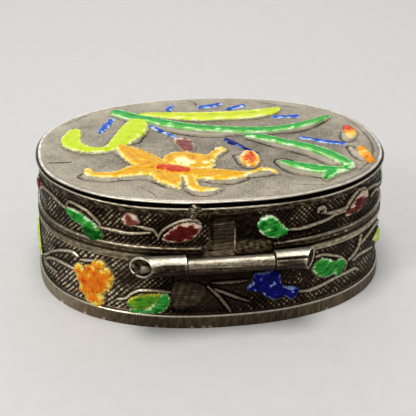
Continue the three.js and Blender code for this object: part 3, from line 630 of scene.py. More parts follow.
def wall_relief(along, up, low, high, pitch, stems, cells, plain):
    """How far a wall's face stands out, and its wear with a painted highlight on the stems: hatching between
    low and high, stems, lips.
    """
    # The chased ground: lozenges between sunk lines, rubbed more in some places than in others.
    ground = span(up, low, low + FADE, high - FADE, high)
    ground *= 1 - plain(along, up)
    lozenge, shade = hatch(along, up, pitch)
    rough = ripple(along, up, 0.35, 12)
    out = -ground * (SUNK + GROOVE * (1 - lozenge)) + 0.012 * rough
    wear_and_painted_light = 0.3 + 0.07 * rough
    bent = from_hinge(along)
    crisp = 0.3 + 0.7 * ease(-0.9, 0.5, ripple(along, up, 3.2, 13)) + 0.4 * ease(-12, -18, bent)
    flecks = ease(0.7, 1.3, ripple(along, up, 0.3, 14))
    chased = 0.02 + 0.66 * lozenge**1.3 * (0.3 + 0.85 * shade) * crisp + 0.3 * flecks * shade
    wear_and_painted_light = wear_and_painted_light * (1 - ground) + chased * ground
    # Raised silver round each cell and along each stem, each in a sunk border. The stems are painted lighter
    # on their upper side and darker on their lower, as a highlight from above.
    shapes = field_of(along, up, [s for c in cells.values() for s in c.strokes],
                      [s for c in cells.values() for s in c.outlines], wrapped=True)
    vine = field_of(along, up, stems, wrapped=True)
    rim = hump(shapes.distance, 0.1, 0.1)
    stem = dome((0.08 - vine.distance) / 0.2)
    upper = np.clip(vine.side, -1, 1)
    for field, ridge, shine in ((shapes, rim, 0.42 + 0 * up), (vine, stem, 0.6 + 0.28 * upper)):
        moat = ease(0.34, 0.18, field.distance)
        out = out * (1 - moat) - (SUNK + 0.03) * moat * (1 - ridge) + RIDGE * ridge
        wear_and_painted_light = wear_and_painted_light * (1 - moat) + (0.04 * (1 - ridge) + (shine + 0.15 * rough) * ridge) * moat
    return out, wear_and_painted_light


def lid_plain(along, up):
    """Where the lid's wall is left smooth: behind the hinge leaf, and under the stem to its right."""
    bent = from_hinge(along)
    return np.maximum(span(bent, -3.1, -2.8, 2.9, 3.2), under_stem(bent, up))


def under_stem(bent, up):
    """The smooth strip of the lid's wall between the bead and the stem to the hinge's right."""
    return span(bent, 2.5, 3, 11, 14) * ease(12.5, 12.1, up)


def base_plain(along, up):
    """Where the base's wall is left smooth: a worn stretch under the middle of the hinge."""
    bent = from_hinge(along)
    return 0.9 * span(bent, -7.4, -6.8, 1.6, 2.2) * ease(2.0, 3.2, up)


# ---- meshes ----
def grid_faces(rows, columns, loop_rows=False, loop_columns=False):
    """Quads over a grid of points numbered row by row."""
    i = np.arange(rows if loop_rows else rows - 1)[:, None]
    j = np.arange(columns if loop_columns else columns - 1)[None, :]
    up, right = (i + 1) % rows, (j + 1) % columns
    corners = (i * columns + j, i * columns + right, up * columns + right, up * columns + j)
    return np.stack([np.broadcast_to(c, (i.size, j.size)) for c in corners], -1).reshape(-1, 4)


def rim_loop(rows, columns):
    """The numbers of a grid's points round its rim."""
    numbers = np.arange(rows * columns).reshape(rows, columns)
    return np.concatenate([numbers[0, :-1], numbers[:-1, -1], numbers[-1, :0:-1], numbers[:0:-1, 0]])


def sheet_faces(rows, columns):
    """Faces of a sheet: a front grid of points, a back one numbered after it, and the edge between them."""
    count = rows * columns
    front = grid_faces(rows, columns)
    loop = rim_loop(rows, columns)
    after = np.roll(loop, -1)
    edge = np.stack([loop, loop + count, after + count, after], -1)
    return np.concatenate([front, front[:, ::-1] + count, edge])


def rod_faces(rings, sides):
    """Faces of a rod made of rings of points, with both ends closed."""
    faces = list(grid_faces(rings, sides, loop_columns=True))
    faces.append(np.arange(sides)[::-1])
    faces.append(np.arange(sides) + (rings - 1) * sides)
    return faces


def make_piece(name, points, faces, body, material, node, wear_and_painted_light, layer="wear_and_painted_light"):
    """A mesh object from points in millimetres, facing outwards, on its body and in its CAD node's place.

    wear gives a number for each point, and in places it holds painted light and shade as well as wear; the
    material reads it from the layer of that name."""
    mesh = bpy.data.meshes.new(name)
    mesh.from_pydata((np.asarray(points) * MM).tolist(), [], [list(map(int, face)) for face in faces])
    values = mesh.attributes.new(layer, "FLOAT", "POINT").data
    values.foreach_set("value", np.asarray(wear_and_painted_light, np.float32).ravel())
    work = bmesh.new()
    work.from_mesh(mesh)
    bmesh.ops.recalc_face_normals(work, faces=work.faces)
    work.to_mesh(mesh)
    work.free()
    mesh.shade_smooth()
    mesh.materials.append(material)
    piece = bpy.data.objects.new(name, mesh)
    bpy.context.collection.objects.link(piece)
    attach(piece, body)
    if node:
        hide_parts(node)


def hoop_piece(name, node, body, profile, material, columns=900, wobble=0.02, stain=0.12, ends=None,
               mark=None, lift=None):
    """A silver hoop, or a stretch of one between two ends. Profile rows are offset, height, wear.

    columns is how many points there are along it, wobble how uneven it runs and stain how uneven its wear
    is. mark takes along and row shares and gives extra offset and wear, and lift gives extra height."""
    profile = np.asarray(profile, float)
    rows = len(profile)
    if ends:
        along = np.linspace(*ends, columns)
    else:
        along = np.arange(columns) / columns * OUTLINE
    u = np.broadcast_to(along, (rows, columns))
    row = np.broadcast_to(np.arange(rows)[:, None], u.shape)
    turn = u / OUTLINE * 2 * np.pi
    wave = ripple(6 * np.cos(turn), 6 * np.sin(turn), 2.2, len(name)) * wobble
    offset, up = profile[:, :1] + wave, profile[:, 1:2] + 0.6 * np.roll(wave, columns // 3, axis=1)
    wear_and_painted_light = profile[:, 2:3] + stain * ripple(u, row * 0.3, 0.9, len(name) + 1)
    if mark:
        more, shine = mark(u, row / (rows - 1))
        offset, wear_and_painted_light = offset + more, wear_and_painted_light + shine
    if lift:
        up = up + lift(u)
    faces = list(grid_faces(rows, columns, loop_rows=True, loop_columns=not ends))
    if ends:
        first = np.arange(rows) * columns
        faces.append(first)
        faces.append(first[::-1] + columns - 1)
    make_piece(name, on_wall(u, up, offset).reshape(-1, 3), faces, body, material, node, wear_and_painted_light)


def arc(centre_offset, centre_up, radius_out, radius_up, first, last, steps, wear_and_painted_light):
    """Profile rows along a round: angles in degrees, 0 outwards and 90 up."""
    rows = []
    for i in range(steps + 1):
        turn = math.radians(first + (last - first) * i / steps)
        out, up = radius_out * math.cos(turn), radius_up * math.sin(turn)
        rows.append((centre_offset + out, centre_up + up, wear_and_painted_light))
    return rows


GROWTH_STEPS = 14  # how many quads a patch grows beyond its core


def joined(mask, core):
    """The part of a mask that hangs together with its core."""
    reached = mask & core
    for _ in range(GROWTH_STEPS):
        grown = reached.copy()
        grown[1:] |= reached[:-1]
        grown[:-1] |= reached[1:]
        grown[:, 1:] |= reached[:, :-1]
        grown[:, :-1] |= reached[:, 1:]
        reached = grown & mask
    return reached


def open_sides(quads):
    """The sides that belong to one quad only, as pairs of point numbers."""
    sides = np.concatenate([quads[:, [i, (i + 1) % 4]] for i in range(4)])
    _, where, times = np.unique(np.sort(sides, 1), axis=0, return_index=True, return_counts=True)
    return sides[where[times == 1]]


def cell_patch(name, cell, place, body, material, slot, node=None, edge=0.1, skirt=0.3, spacing=0.1, jag=0.05,
               surface=None):
    """A domed patch over a cell's shape: its rim follows the shape's edge and goes down into the silver.

    place turns two distances and a height into points. edge is the height at the rim, skirt how far the rim
    goes down, and jag how uneven it runs. surface, where there is one, gives height and wear itself."""
    points = np.array([p[:2] for shape in (*cell.strokes, *cell.outlines) for p in shape])
    widest = max([p[2] for stroke in cell.strokes for p in stroke], default=0.4)
    low, high = points.min(0) - widest / 2 - 0.4, points.max(0) + widest / 2 + 0.4
    count = np.ceil((high - low) / spacing).astype(int) + 1
    u, v = np.meshgrid(low[0] + np.arange(count[0]) * spacing, low[1] + np.arange(count[1]) * spacing)
    field = field_of(u, v, cell.strokes, cell.outlines)
    seed = sum(map(ord, name))
    distance = field.distance + jag * (ripple(u, v, 0.5, seed) + 0.8 * ripple(u, v, 0.24, seed + 9)) / 1.3
    # Only the grid's quads inside the shape are kept, and their rim is moved onto its edge.
    corners = (distance[:-1, :-1] + distance[1:, :-1] + distance[:-1, 1:] + distance[1:, 1:]) / 4
    held = joined(corners < 0, field.distance[:-1, :-1] < -0.12)
    quads = grid_faces(*u.shape)[held.ravel()]
    rim_sides = open_sides(quads)
    rim = np.unique(rim_sides)
    slope_v, slope_u = np.gradient(distance, spacing)
    steep = np.maximum(np.hypot(slope_u, slope_v), 0.3)
    shift = np.zeros(u.size)
    shift[rim] = np.clip(distance.ravel()[rim] / steep.ravel()[rim], -spacing, spacing)
    u = u.ravel() - shift * (slope_u / steep).ravel()
    v = v.ravel() - shift * (slope_v / steep).ravel()
    depth = np.maximum(-distance.ravel(), 0)
    depth[rim] = 0
    if surface:
        height, tone = surface(u, v, depth)
    else:
        height, tone = enamel_surface(cell, u, v, depth, field.run.ravel(), field.side.ravel(), seed, edge)
    # The rim's points come again lower down, for the wall that goes into the silver.
    lower = np.zeros(u.size, int)
    lower[rim] = u.size + np.arange(len(rim))
    walls = np.stack([rim_sides[:, 1], rim_sides[:, 0], lower[rim_sides[:, 0]], lower[rim_sides[:, 1]]], -1)
    faces = np.concatenate([quads, walls])
    used = np.unique(faces)
    number = np.zeros(u.size + len(rim), int)
    number[used] = np.arange(len(used))
    points = np.concatenate([place(u, v, height), place(u[rim], v[rim], np.full(len(rim), -skirt))])[used]
    tones = np.concatenate([tone, tone[rim]])[used]
    make_piece(name, points, number[faces], body, material, node, tones, "wear_and_painted_light" if surface else "tone")


def enamel_surface(cell, u, v, depth, run, side, seed, edge):
    """Height of the enamel over the silver and its tone, 0 pale at the edge and 1 deep."""
    share = depth / max(depth.max(), 0.2)
    # A shallow dome with grooves along it, and a tone that depends on how the enamel is laid.
    ridges = np.sin(side * 9 + ripple(u, v, 2.5, seed + 1) * 1.5)
    height = edge + (cell.high - edge) * dome(depth / 0.55) * (0.8 + 0.2 * dome(share))
    height += 0.018 * ripple(u, v, 0.7, seed + 2) + cell.veins * ridges * ease(0, 0.5, share)
    patches = ripple(u, v, 1.3, seed + 3)
    if cell.lay == "run":
        tone = 1 - run / max(run.max(), 0.1) + 0.25 * patches
        if cell.enamel == "berry":
            tone = 0.15 + 0.8 * np.abs(run / max(run.max(), 0.1) - 0.45) / 0.55 + 0.2 * patches
        tone = np.where(share < 0.25, tone * 0.6, tone)
    elif cell.lay == "away":
        tone = ease(1.0, 3.2, v) + 0.2 * patches
    elif cell.lay == "midline":
        middle = 1 - np.abs(side + 0.1)
        streaks = ripple(run * 0.3, side * 1.6, 0.6, seed + 8)
        tone = 0.1 + 0.36 * ease(0.1, 0.8, middle) + 0.3 * hump(side, 0.15, 0.4)
        tone += 0.06 * patches + 0.16 * streaks
        height -= 0.04 * hump(side, 0, 0.2) * ease(0.1, 0.5, share)
    elif cell.lay == "soft":
        tone = 0.04 + 0.5 * ease(0.08, 0.55, depth) + 0.14 * patches
        tone += 0.12 * hump(side, -0.3, 0.2) + 0.06 * ripple(u, v, 0.5, seed + 8)
    elif cell.lay == "core":
        stripes = ripple(u * 2.2 + v * 0.8, v * 0.5, 0.9, seed + 5)
        tone = 0.2 + 0.75 * ease(0.2, 0.8, depth) + 0.3 * stripes
    elif cell.lay == "petal":
        streak = np.sin(side * 11 + 2.4 * ripple(u, v, 2, seed + 4)) * 0.5 + 0.5
        tone = 0.04 + 0.38 * ease(0.06, 0.7, depth) + 0.36 * streak**2 * ease(0.1, 0.6, depth) + 0.1 * patches
    elif cell.lay == "bloom":
        lumps = ripple(u, v, 0.55, seed + 6)
        curls = np.sin(run * 5.5 + 1.5 * ripple(u, v, 1.1, seed + 7))
        tone = 0.08 + 0.08 * patches + 0.14 * lumps + 0.12 * curls
        tone += 0.36 * ease(0.15, 1.0, depth) + 0.34 * ease(2.6, 0.9, run)
        tone -= 0.3 * hump(run, 0.6, 0.25)
        height += (0.09 * lumps + 0.08 * curls) * ease(0, 0.4, depth)
    else:
        streak = ripple(u * 0.8, v * 2.2, 0.9, seed + 5)
        tone = 0.04 + 0.6 * ease(0.0, 0.34, depth) + 0.22 * patches + 0.26 * streak
    # Chips and thin places, and painted glints: spots where the tone is lighter.
    for spot_u, spot_v, radius, strength in cell.pale:
        tone -= strength * np.exp(-(((u - spot_u) ** 2 + (v - spot_v) ** 2) / radius**2) ** 1.5)
    return height, np.clip(tone, 0, 1)


# ---- materials ----
def linear(red, green, blue):
    """A colour given as on a screen, 0 to 255, as light."""
    parts = [c / 255 for c in (red, green, blue)]
    return tuple(c / 12.92 if c <= 0.04045 else ((c + 0.055) / 1.055) ** 2.4 for c in parts) + (1.0,)


class Shader:
    """A material being wired up."""

    def __init__(self, name):
        self.material = bpy.data.materials.new(name)
        self.material.use_nodes = True
        self.tree = self.material.node_tree
        self.surface = self.tree.nodes["Principled BSDF"]
        self.place = self.add("TexCoord").outputs["Object"]

    def add(self, kind, settings=None, **inputs):
        """A node. Its inputs are named with _ for a blank, and take a number, a colour or an output."""
        made = self.tree.nodes.new("ShaderNode" + kind)
        for key, value in (settings or {}).items():
            setattr(made, key, value)
        for key, value in inputs.items():
            self.feed(made.inputs[key.replace("_", " ")], value)
        return made

    def feed(self, socket, value):
        """Links a socket to an output, or sets it to a constant."""
        if isinstance(value, bpy.types.NodeSocket):
            self.tree.links.new(value, socket)
        else:
            socket.default_value = value

    def maths(self, operation, a, b, clamp=False):
        """The result of one sum, held between 0 and 1 where clamp is set."""
        made = self.add("Math", {"operation": operation, "use_clamp": clamp})
        self.feed(made.inputs[0], a)
        self.feed(made.inputs[1], b)
        return made.outputs[0]

    def about_nought(self, noise, amount):
        """Noise moved to lie about 0, times an amount."""
        return self.maths("MULTIPLY", self.maths("SUBTRACT", noise, 0.5), amount)

    def layer(self, name):
        """The numbers that make_piece gave a mesh's points."""
        return self.add("Attribute", {"attribute_name": name}).outputs["Fac"]

    def noise(self, size, detail, stretch=(1, 1, 1)):
        """Noise with grains of about that size in millimetres, finer where stretch is above 1."""
        place = self.place
        if stretch != (1, 1, 1):
            place = self.add("Mapping", Vector=self.place, Scale=stretch).outputs[0]
        made = self.add("TexNoise", Vector=place, Scale=1 / (size * MM), Detail=detail, Roughness=0.6)
        return made.outputs["Fac"]

    def ramp(self, value, stops):
        """A colour for a number: stops are rows of the number and the colour on a screen."""
        made = self.add("ValToRGB", Fac=value)
        stops_made = made.color_ramp.elements
        while len(stops_made) < len(stops):
            stops_made.new(0.5)
        for stop, (position, colour) in zip(stops_made, stops):
            stop.position = position
            stop.color = linear(*colour)
        return made.outputs["Color"]

    def between(self, value, low, high):
        """A number that goes from low to high as value goes from 0 to 1."""
        return self.add("MapRange", Value=value, To_Min=low, To_Max=high).outputs[0]

    def set(self, **inputs):
        """Sets the surface's own inputs."""
        for key, value in inputs.items():
            self.feed(self.surface.inputs[key.replace("_", " ")], value)


GRIT_DEPTH = 0.03  # height of the fine bumps on metal
GLAZE_DEPTH = 0.06  # and on enamel


def metal(name, stops, roughness, speckle, clouds, bump=0.5, brush=None):
    """Worn metal: its colour runs from grime in hollows and painted shade, at 0, to bright wear on ridges and
    painted highlights, at 1.

    roughness is that of bright and of grimy metal. speckle and clouds say how much small and large noise
    there is in the wear, and brush stretches some of it into scratches."""
    shader = Shader(name)
    fine = shader.noise(0.16, 4)
    broad = shader.noise(3.2, 3)
    level = shader.maths("ADD", shader.layer("wear_and_painted_light"), shader.about_nought(fine, speckle))
    level = shader.maths("ADD", level, shader.about_nought(broad, clouds), clamp=True)
    height = shader.maths("ADD", fine, shader.maths("MULTIPLY", shader.noise(0.9, 2), 0.8))
    if brush:
        marks = shader.noise(0.12, 2, brush)
        height = shader.maths("ADD", height, marks)
        level = shader.maths("ADD", level, shader.about_nought(marks, 0.3), clamp=True)
    bright_rough, grimy_rough = roughness
    rough = shader.maths("ADD", shader.between(level, grimy_rough, bright_rough),
                         shader.about_nought(fine, 0.12), clamp=True)
    relief = shader.add("Bump", Strength=bump, Distance=GRIT_DEPTH * MM, Height=height)
    shader.set(Base_Color=shader.ramp(level, stops), Metallic=1.0, Roughness=rough, Normal=relief.outputs[0])
    return shader.material


def enamel(name, pale, edge, main, deep, grit=0.6):
    """Glassy enamel over silver: pale and chipped at the cell's edge, deep where it lies thick."""
    shader = Shader(name + "_enamel")
    broad = shader.noise(0.9, 3)
    fine = shader.noise(0.14, 3)
    wobble = shader.maths("ADD", shader.about_nought(broad, 0.7 * grit), shader.about_nought(fine, grit))
    level = shader.maths("ADD", shader.layer("tone"), wobble, clamp=True)
    colour = shader.ramp(level, [(0.0, pale), (0.17, edge), (0.42, main), (0.68, main), (1.0, deep)])
    height = shader.maths("ADD", shader.noise(0.6, 2), shader.maths("MULTIPLY", fine, 0.35))
    relief = shader.add("Bump", Strength=0.45, Distance=GLAZE_DEPTH * MM, Height=height)
    shader.set(Base_Color=colour, Roughness=shader.between(fine, 0.14, 0.4), IOR=1.5, Specular_IOR_Level=0.05,
               Coat_Weight=0.03, Coat_Roughness=0.08, Normal=relief.outputs[0])
    return shader.material


# Rows of wear and the colour it gives, then how rough bright and grimy metal is.
SILVER = metal("worn_silver",
               [(0.0, (28, 22, 17)), (0.3, (104, 95, 80)), (0.5, (170, 158, 136)), (0.75, (206, 196, 176)),
                (1.0, (248, 240, 224))],
               (0.3, 0.55), speckle=0.9, clouds=0.35, bump=0.8)
BAND_SILVER = metal("dull_silver",
                    [(0.0, (14, 10, 7)), (0.3, (76, 65, 49)), (0.5, (120, 107, 84)), (0.75, (176, 164, 138)),
                     (1.0, (250, 240, 220))],
                    (0.28, 0.55), speckle=0.35, clouds=0.35, brush=(1, 6, 14))
DARK_SILVER = metal("tarnished_silver",
                    [(0.0, (9, 6, 4)), (0.22, (56, 45, 34)), (0.5, (128, 114, 92)), (0.75, (186, 174, 148)),
                     (1.0, (236, 226, 204))],
                    (0.3, 0.6), speckle=0.4, clouds=0.2)
FOOT_SILVER = metal("milled_silver",
                    [(0.0, (12, 9, 6)), (0.3, (70, 58, 44)), (0.5, (118, 105, 84)), (0.75, (176, 164, 138)),
                     (1.0, (250, 240, 220))],
                    (0.3, 0.55), speckle=0.15, clouds=0.1, bump=0.2, brush=(0.6, 0.6, 0.08))
POLISHED = metal("rubbed_silver",
                 [(0.0, (20, 15, 10)), (0.25, (84, 72, 56)), (0.5, (168, 156, 134)), (0.8, (232, 224, 206)),
                  (1.0, (255, 250, 238))],
                 (0.34, 0.6), speckle=0.45, clouds=0.35, brush=(1, 12, 12))
INSIDE = metal("inner_silver",
               [(0.0, (50, 42, 32)), (0.4, (150, 138, 118)), (0.7, (196, 186, 166)), (1.0, (228, 220, 204))],
               (0.28, 0.5), speckle=0.2, clouds=0.5, brush=(1, 9, 1))

# Each enamel's colours from pale to deep, and how gritty it is.
ENAMEL_COLOURS = {
    "chartreuse": ((242, 246, 196), (220, 236, 40), (196, 220, 0), (136, 166, 0), 0.8),
    "yellow": ((248, 250, 190), (228, 238, 66), (204, 218, 4), (150, 176, 0)),
    "leaf_green": ((232, 246, 214), (142, 218, 112), (36, 164, 58), (6, 108, 34)),
    "green": ((230, 244, 216), (132, 204, 118), (40, 146, 50), (4, 80, 18), 0.8),
    "dark_green": ((120, 176, 80), (20, 116, 26), (2, 82, 14), (0, 48, 4)),
    "yellow_green": ((222, 206, 90), (170, 184, 30), (84, 146, 34), (22, 106, 32)),
    "orange": ((250, 244, 190), (244, 210, 52), (226, 164, 0), (178, 88, 0), 0.8),
    "marigold": ((252, 232, 130), (246, 194, 40), (234, 126, 24), (206, 66, 6), 1.0),
    "berry": ((240, 232, 210), (250, 206, 80), (242, 150, 20), (206, 34, 4)),
    "red": ((244, 160, 20), (230, 100, 6), (206, 60, 0), (170, 26, 0)),
    "maroon": ((222, 200, 176), (146, 84, 68), (84, 14, 12), (46, 2, 2)),
    "rose": ((224, 204, 182), (176, 130, 108), (128, 66, 52), (88, 34, 28)),
    "blue": ((218, 228, 242), (110, 156, 222), (16, 74, 190), (0, 26, 134)),
    "dark_blue": ((140, 160, 206), (6, 34, 140), (0, 0, 96), (0, 0, 50)),
}
ENAMELS = {name: enamel(name, *colours) for name, colours in ENAMEL_COLOURS.items()}
# Enamels whose slot name is that of a like colour.
SHARED_SLOTS = {"yellow_green": "chartreuse", "berry": "orange", "marigold": "orange", "leaf_green": "green",
                "rose": "maroon"}


def slot_of(enamel_name):
    """The name of the material slot for a cell of this enamel."""
    return SHARED_SLOTS.get(enamel_name, enamel_name) + "_enamel"


# ---- the lid ----
PLATE_INSET = 0.15  # how much smaller the worn plate is than its outline
PLATE_GRID = 300  # rows of faces across it


def lid_plate():
    """The embossed plate: its face, with the rim turned down to the underside."""
    x, y, share = plate_grid(PLATE_GRID)
    angle = np.arctan2(y * HALF_WIDTH, x * HALF_LENGTH)
    uneven = 0.035 * ripple(3 * np.cos(angle), 3 * np.sin(angle), 0.9, 21) * share**4
    x, y = x * (HALF_LENGTH + uneven - PLATE_INSET), y * (HALF_WIDTH + uneven - PLATE_INSET)
    height, wear_and_painted_light = plate_relief(-x, -y)
    inward = (1 - share) * (HALF_WIDTH + HALF_LENGTH) / 2
    rim = ease(0.75, 0.25, inward)
    border = hump(inward, 1.05, 0.09) * (0.05 + 0.8 * ease(14, 19, -x) * ease(8, 3, -y))
    flat = ease(0.3, 1.2, inward)
    height = height * flat - 0.13 * rim**2 - 0.05 * border
    lip = 0.5 * rim * (0.8 + 0.2 * ripple(x, y, 1.2, 22))
    wear_and_painted_light = wear_and_painted_light + lip - 0.3 * border - 0.1 * ease(1, 0.55, share) + 0.02 * ease(2, 14, x)
    points = np.stack([x, y, TOP_Z + height], -1).reshape(-1, 3)
    faces = [grid_faces(*x.shape)]
    loop = rim_loop(*x.shape)
    last = loop
    wears = [wear_and_painted_light.ravel()]
    # Rings of points turn the rim down and in: how far in each lies, how high, and its wear.
    for inset, level, shine in ((0.0, TOP_Z - 0.2, 0.75), (0.03, PLATE_LOW + 0.04, 0.4),
                                (0.12, PLATE_LOW, 0.1), (1.0, PLATE_LOW, 0.1)):
        ring = points[loop].copy()
        length = np.hypot(ring[:, 0], ring[:, 1])[:, None]
        ring[:, :2] *= 1 - inset / length
        ring[:, 2] = level
        new = len(points) + np.arange(len(loop))
        points = np.concatenate([points, ring])
        wears.append(np.full(len(loop), shine))
        faces.append(np.stack([last, new, np.roll(new, -1), np.roll(last, -1)], -1))
        last = new
    make_piece("lid_plate_face", points, np.concatenate(faces), "lid", SILVER, "lid_plate",
               np.concatenate(wears))


def lid_plate_inside():
    """The plate's underside, where the embossing shows as hollows."""
    x, y, share = plate_grid(PLATE_GRID // 2)
    x, y = x * (HALF_LENGTH + LID_WALL_INNER), y * (HALF_WIDTH + LID_WALL_INNER)
    height, _ = plate_relief(-x, -y)
    depth = 0.8 * np.maximum(height, -0.03) * ease(1, 0.96, share)
    points = np.stack([x, y, PLATE_LOW - 0.015 + depth], -1).reshape(-1, 3)
    wear_and_painted_light = 0.45 + 0.12 * ripple(x, y, 5, 24) - 0.5 * ease(0.12, 0.25, depth)
    make_piece("lid_plate_inside", points, grid_faces(*x.shape), "lid", INSIDE, None, wear_and_painted_light)


WALL_COLUMNS = 1650  # points round a wall
WALL_STEP = 0.077  # height of a row of its faces
INNER_WEAR = 0.4


def wall_piece(name, node, body, offset, inner, low, high, relief):
    """A wall as one closed hoop: its chased outer face, its plain inner face and its two edges."""
    up = np.linspace(low, high, int(round((high - low) / WALL_STEP)) + 1)
    along = np.arange(WALL_COLUMNS) / WALL_COLUMNS * OUTLINE
    u, v = np.meshgrid(along, up)
    out, wear_and_painted_light = relief(u, v)
    outer = on_wall(u, v, offset + out)
    back_up = np.array([high, (high + low) / 2, low])
    back = on_wall(*np.meshgrid(along, back_up), inner)
    points = np.concatenate([outer, back]).reshape(-1, 3)
    wears = np.concatenate([wear_and_painted_light.ravel(), np.full(back_up.size * WALL_COLUMNS, INNER_WEAR)])
    faces = grid_faces(len(up) + back_up.size, WALL_COLUMNS, loop_rows=True, loop_columns=True)
    make_piece(name, points, faces, body, DARK_SILVER, node, wears)


def lid_wall_relief(along, up):
    """Relief and wear of the lid's wall, with painted shadow under the plate's edge and under a stem: hatched
    low down, with a plain strip under the wire.
    """
    out, wear_and_painted_light = wall_relief(along, up, HATCH_LOW, HATCH_HIGH, LID_PITCH, LID_STEMS + HIDDEN_LID_STEMS,
                            LID_CELLS, lid_plain)
    strip = span(up, HATCH_HIGH - 0.05, HATCH_HIGH + 0.1, WIRE_LOW - 0.1, WIRE_LOW + 0.1)
    bent = from_hinge(along)
    shaded_gap_side = ease(32, 18, np.abs(bent))
    # On the hinge side the wall's top, between the wire and the plate, is set back and painted dark as the
    # shadow under the plate's edge; away from the hinge it is a little lighter.
    wear_and_painted_light += strip * (0.13 * ripple(along, up * 4, 1.4, 31) - 0.07)
    wear_and_painted_light += (0.1 - 0.6 * shaded_gap_side) * ease(WIRE_HIGH - 0.2, WIRE_HIGH - 0.1, up)
    out = out - 0.1 * shaded_gap_side * ease(WIRE_HIGH - 0.1, WIRE_HIGH, up)
    # The smooth strip under the stem to the hinge's right is painted darker, as shadow under the stem.
    return out, wear_and_painted_light - 0.26 * under_stem(bent, up) * ease(0.4, 0.28, wear_and_painted_light)


def base_wall_relief(along, up):
    """Relief and wear of the base's wall, with painted shadow under the knuckles and the strip's upright
    joint under the hinge.
    """
    out, wear_and_painted_light = wall_relief(along, up, FOOT_HIGH + 0.1, BAND_LOW, BASE_PITCH, BASE_STEMS + HIDDEN_BASE_STEMS,
                            BASE_CELLS, base_plain)
    joint = field_of(along, up, [[(-7.1, 2.0, 0.1), (-7.05, 5.5, 0.12), (-7.1, 8.6, 0.1)]], wrapped=True)
    cut = ease(0.08, -0.02, joint.distance)
    bent = from_hinge(along)
    # The wall is painted darker right under the knuckles, as their shadow, and is speckled to the right of
    # the middle.
    shade = span(bent, -12, -10, 9, 11) * ease(5.4, 7.4, up)
    plain = 0.12 * base_plain(along, up) * ease(0.4, 0.3, wear_and_painted_light)
    flecked = span(bent, 1.4, 2.6, 8.8, 10.8) * ease(3.6, 4.6, up) * ease(0.55, 0.45, wear_and_painted_light)
    flecks = 0.1 + 0.6 * ease(0.62, 1.1, ripple(along, up, 0.3, 64))
    wear_and_painted_light = wear_and_painted_light * (1 - 0.8 * flecked) + 0.8 * flecked * flecks
    # It is painted duller in the middle, as shade under the hinge, and is brighter on both sides.
    dim = 0.3 * span(bent, -8, -6.5, 5.5, 7.5) - 0.35 * span(bent, -24, -20, -11, -9)
    lit = 0.09 * span(bent, -24, -20, -11.5, -9.5) + 0.06 * span(bent, 9, 11, 20, 24)
    return out - 0.06 * cut, (wear_and_painted_light - plain) * (1 - 0.6 * shade) * (1 - dim) + lit - 0.4 * cut


def lid_wall():
    """The lid's wall."""
    wall_piece("lid_wall_chased", "lid_wall", "lid", LID_WALL, LID_WALL_INNER, LID_LOW, PLATE_LOW,
               lid_wall_relief)


def base_wall():
    """The base's wall."""
    wall_piece("base_wall_chased", "base_wall", "base", BASE_WALL, BASE_WALL_INNER, 0.0, SEAM_Z,
               base_wall_relief)


def rim_wire():
    """The wire under the plate's edge: away from the hinge it is bent up to the plate."""
    radius = (WIRE_HIGH - WIRE_LOW) / 2
    centre = (WIRE_HIGH + WIRE_LOW) / 2
    # Wear round the wire, from its outer face up and over it: its upper outer face is painted bright as a
    # highlight, and its top, under the plate, is painted dark as the plate's shadow.
    wear_and_light_round_wire = (0.6, 0.95, 0.42, 0.04, 0.02, 0.02, 0.1, 0.1, 0.1, 0.2, 0.4, 0.5)
    bare = arc(WIRE - radius, centre, radius, radius, 0, 330, len(wear_and_light_round_wire) - 1, 0)
    profile = [(offset, up, shine) for (offset, up, _), shine in zip(bare, wear_and_light_round_wire)]

    def stain_and_gap_shadow(along, row):
        away = np.abs(from_hinge(along))
        # Uneven wear, and lighter away from the hinge, where the painted shadow under the plate fades.
        return 0 * along, 0.16 * ripple(along, row * 2, 7, 43) + 0.3 * ease(16, 28, away)

    def climb(along):
        return (PLATE_LOW - WIRE_HIGH - LAP_IN) * ease(12, 26, np.abs(from_hinge(along)))

    hoop_piece("lid_rim_wire_drawn", "lid_rim_wire", "lid", profile, BAND_SILVER, wobble=0.03, mark=stain_and_gap_shadow,
               lift=climb)


def bead():
    """The moulding on the lid's lower edge: a bright round above a dull step."""
    step = BEAD_LOW + 0.45
    back = LID_WALL - LAP_IN
    radius = 0.24
    round_place = (BEAD - radius, (step + BEAD_HIGH) / 2 + 0.02, radius, (BEAD_HIGH - step) / 2)
    profile = [(back, BEAD_LOW, 0.1), (BEAD - 0.16, BEAD_LOW + 0.02, 0.2),
               (BEAD - 0.1, BEAD_LOW + 0.12, 0.34), (BEAD - 0.1, step - 0.12, 0.32),
               (BEAD - 0.2, step - 0.02, 0.08)]
    profile += arc(*round_place, -80, 10, 4, 0.42)
    profile += arc(*round_place, 30, 90, 3, 0.7)
    profile.append((back, BEAD_HIGH, 0.2))

    def nicks(along, row):
        dent = ease(0.75, 1.1, ripple(along, row * 0.4, 0.8, 41))
        # The bead is painted darker near the hinge, as the hinge's shadow.
        shade = 0.2 * ease(9, 5, np.abs(from_hinge(along)))
        return -0.05 * dent, 0.25 * dent + 0.12 * ripple(along, row, 6, 42) - shade

    hoop_piece("lid_bead_moulding", "lid_bead", "lid", profile, BAND_SILVER, columns=1000,
               ends=(BEAD_GAP[1], OUTLINE + BEAD_GAP[0]), mark=nicks)


# ---- the base ----
MILL_PITCH = 0.31  # between the foot's upright marks
NICKS = (-22.4, -18.4, -15.7, -9, -4.8, -3.4, -2.6, 12.5, 31, 44, 58)  # where the foot's bright nicks lie


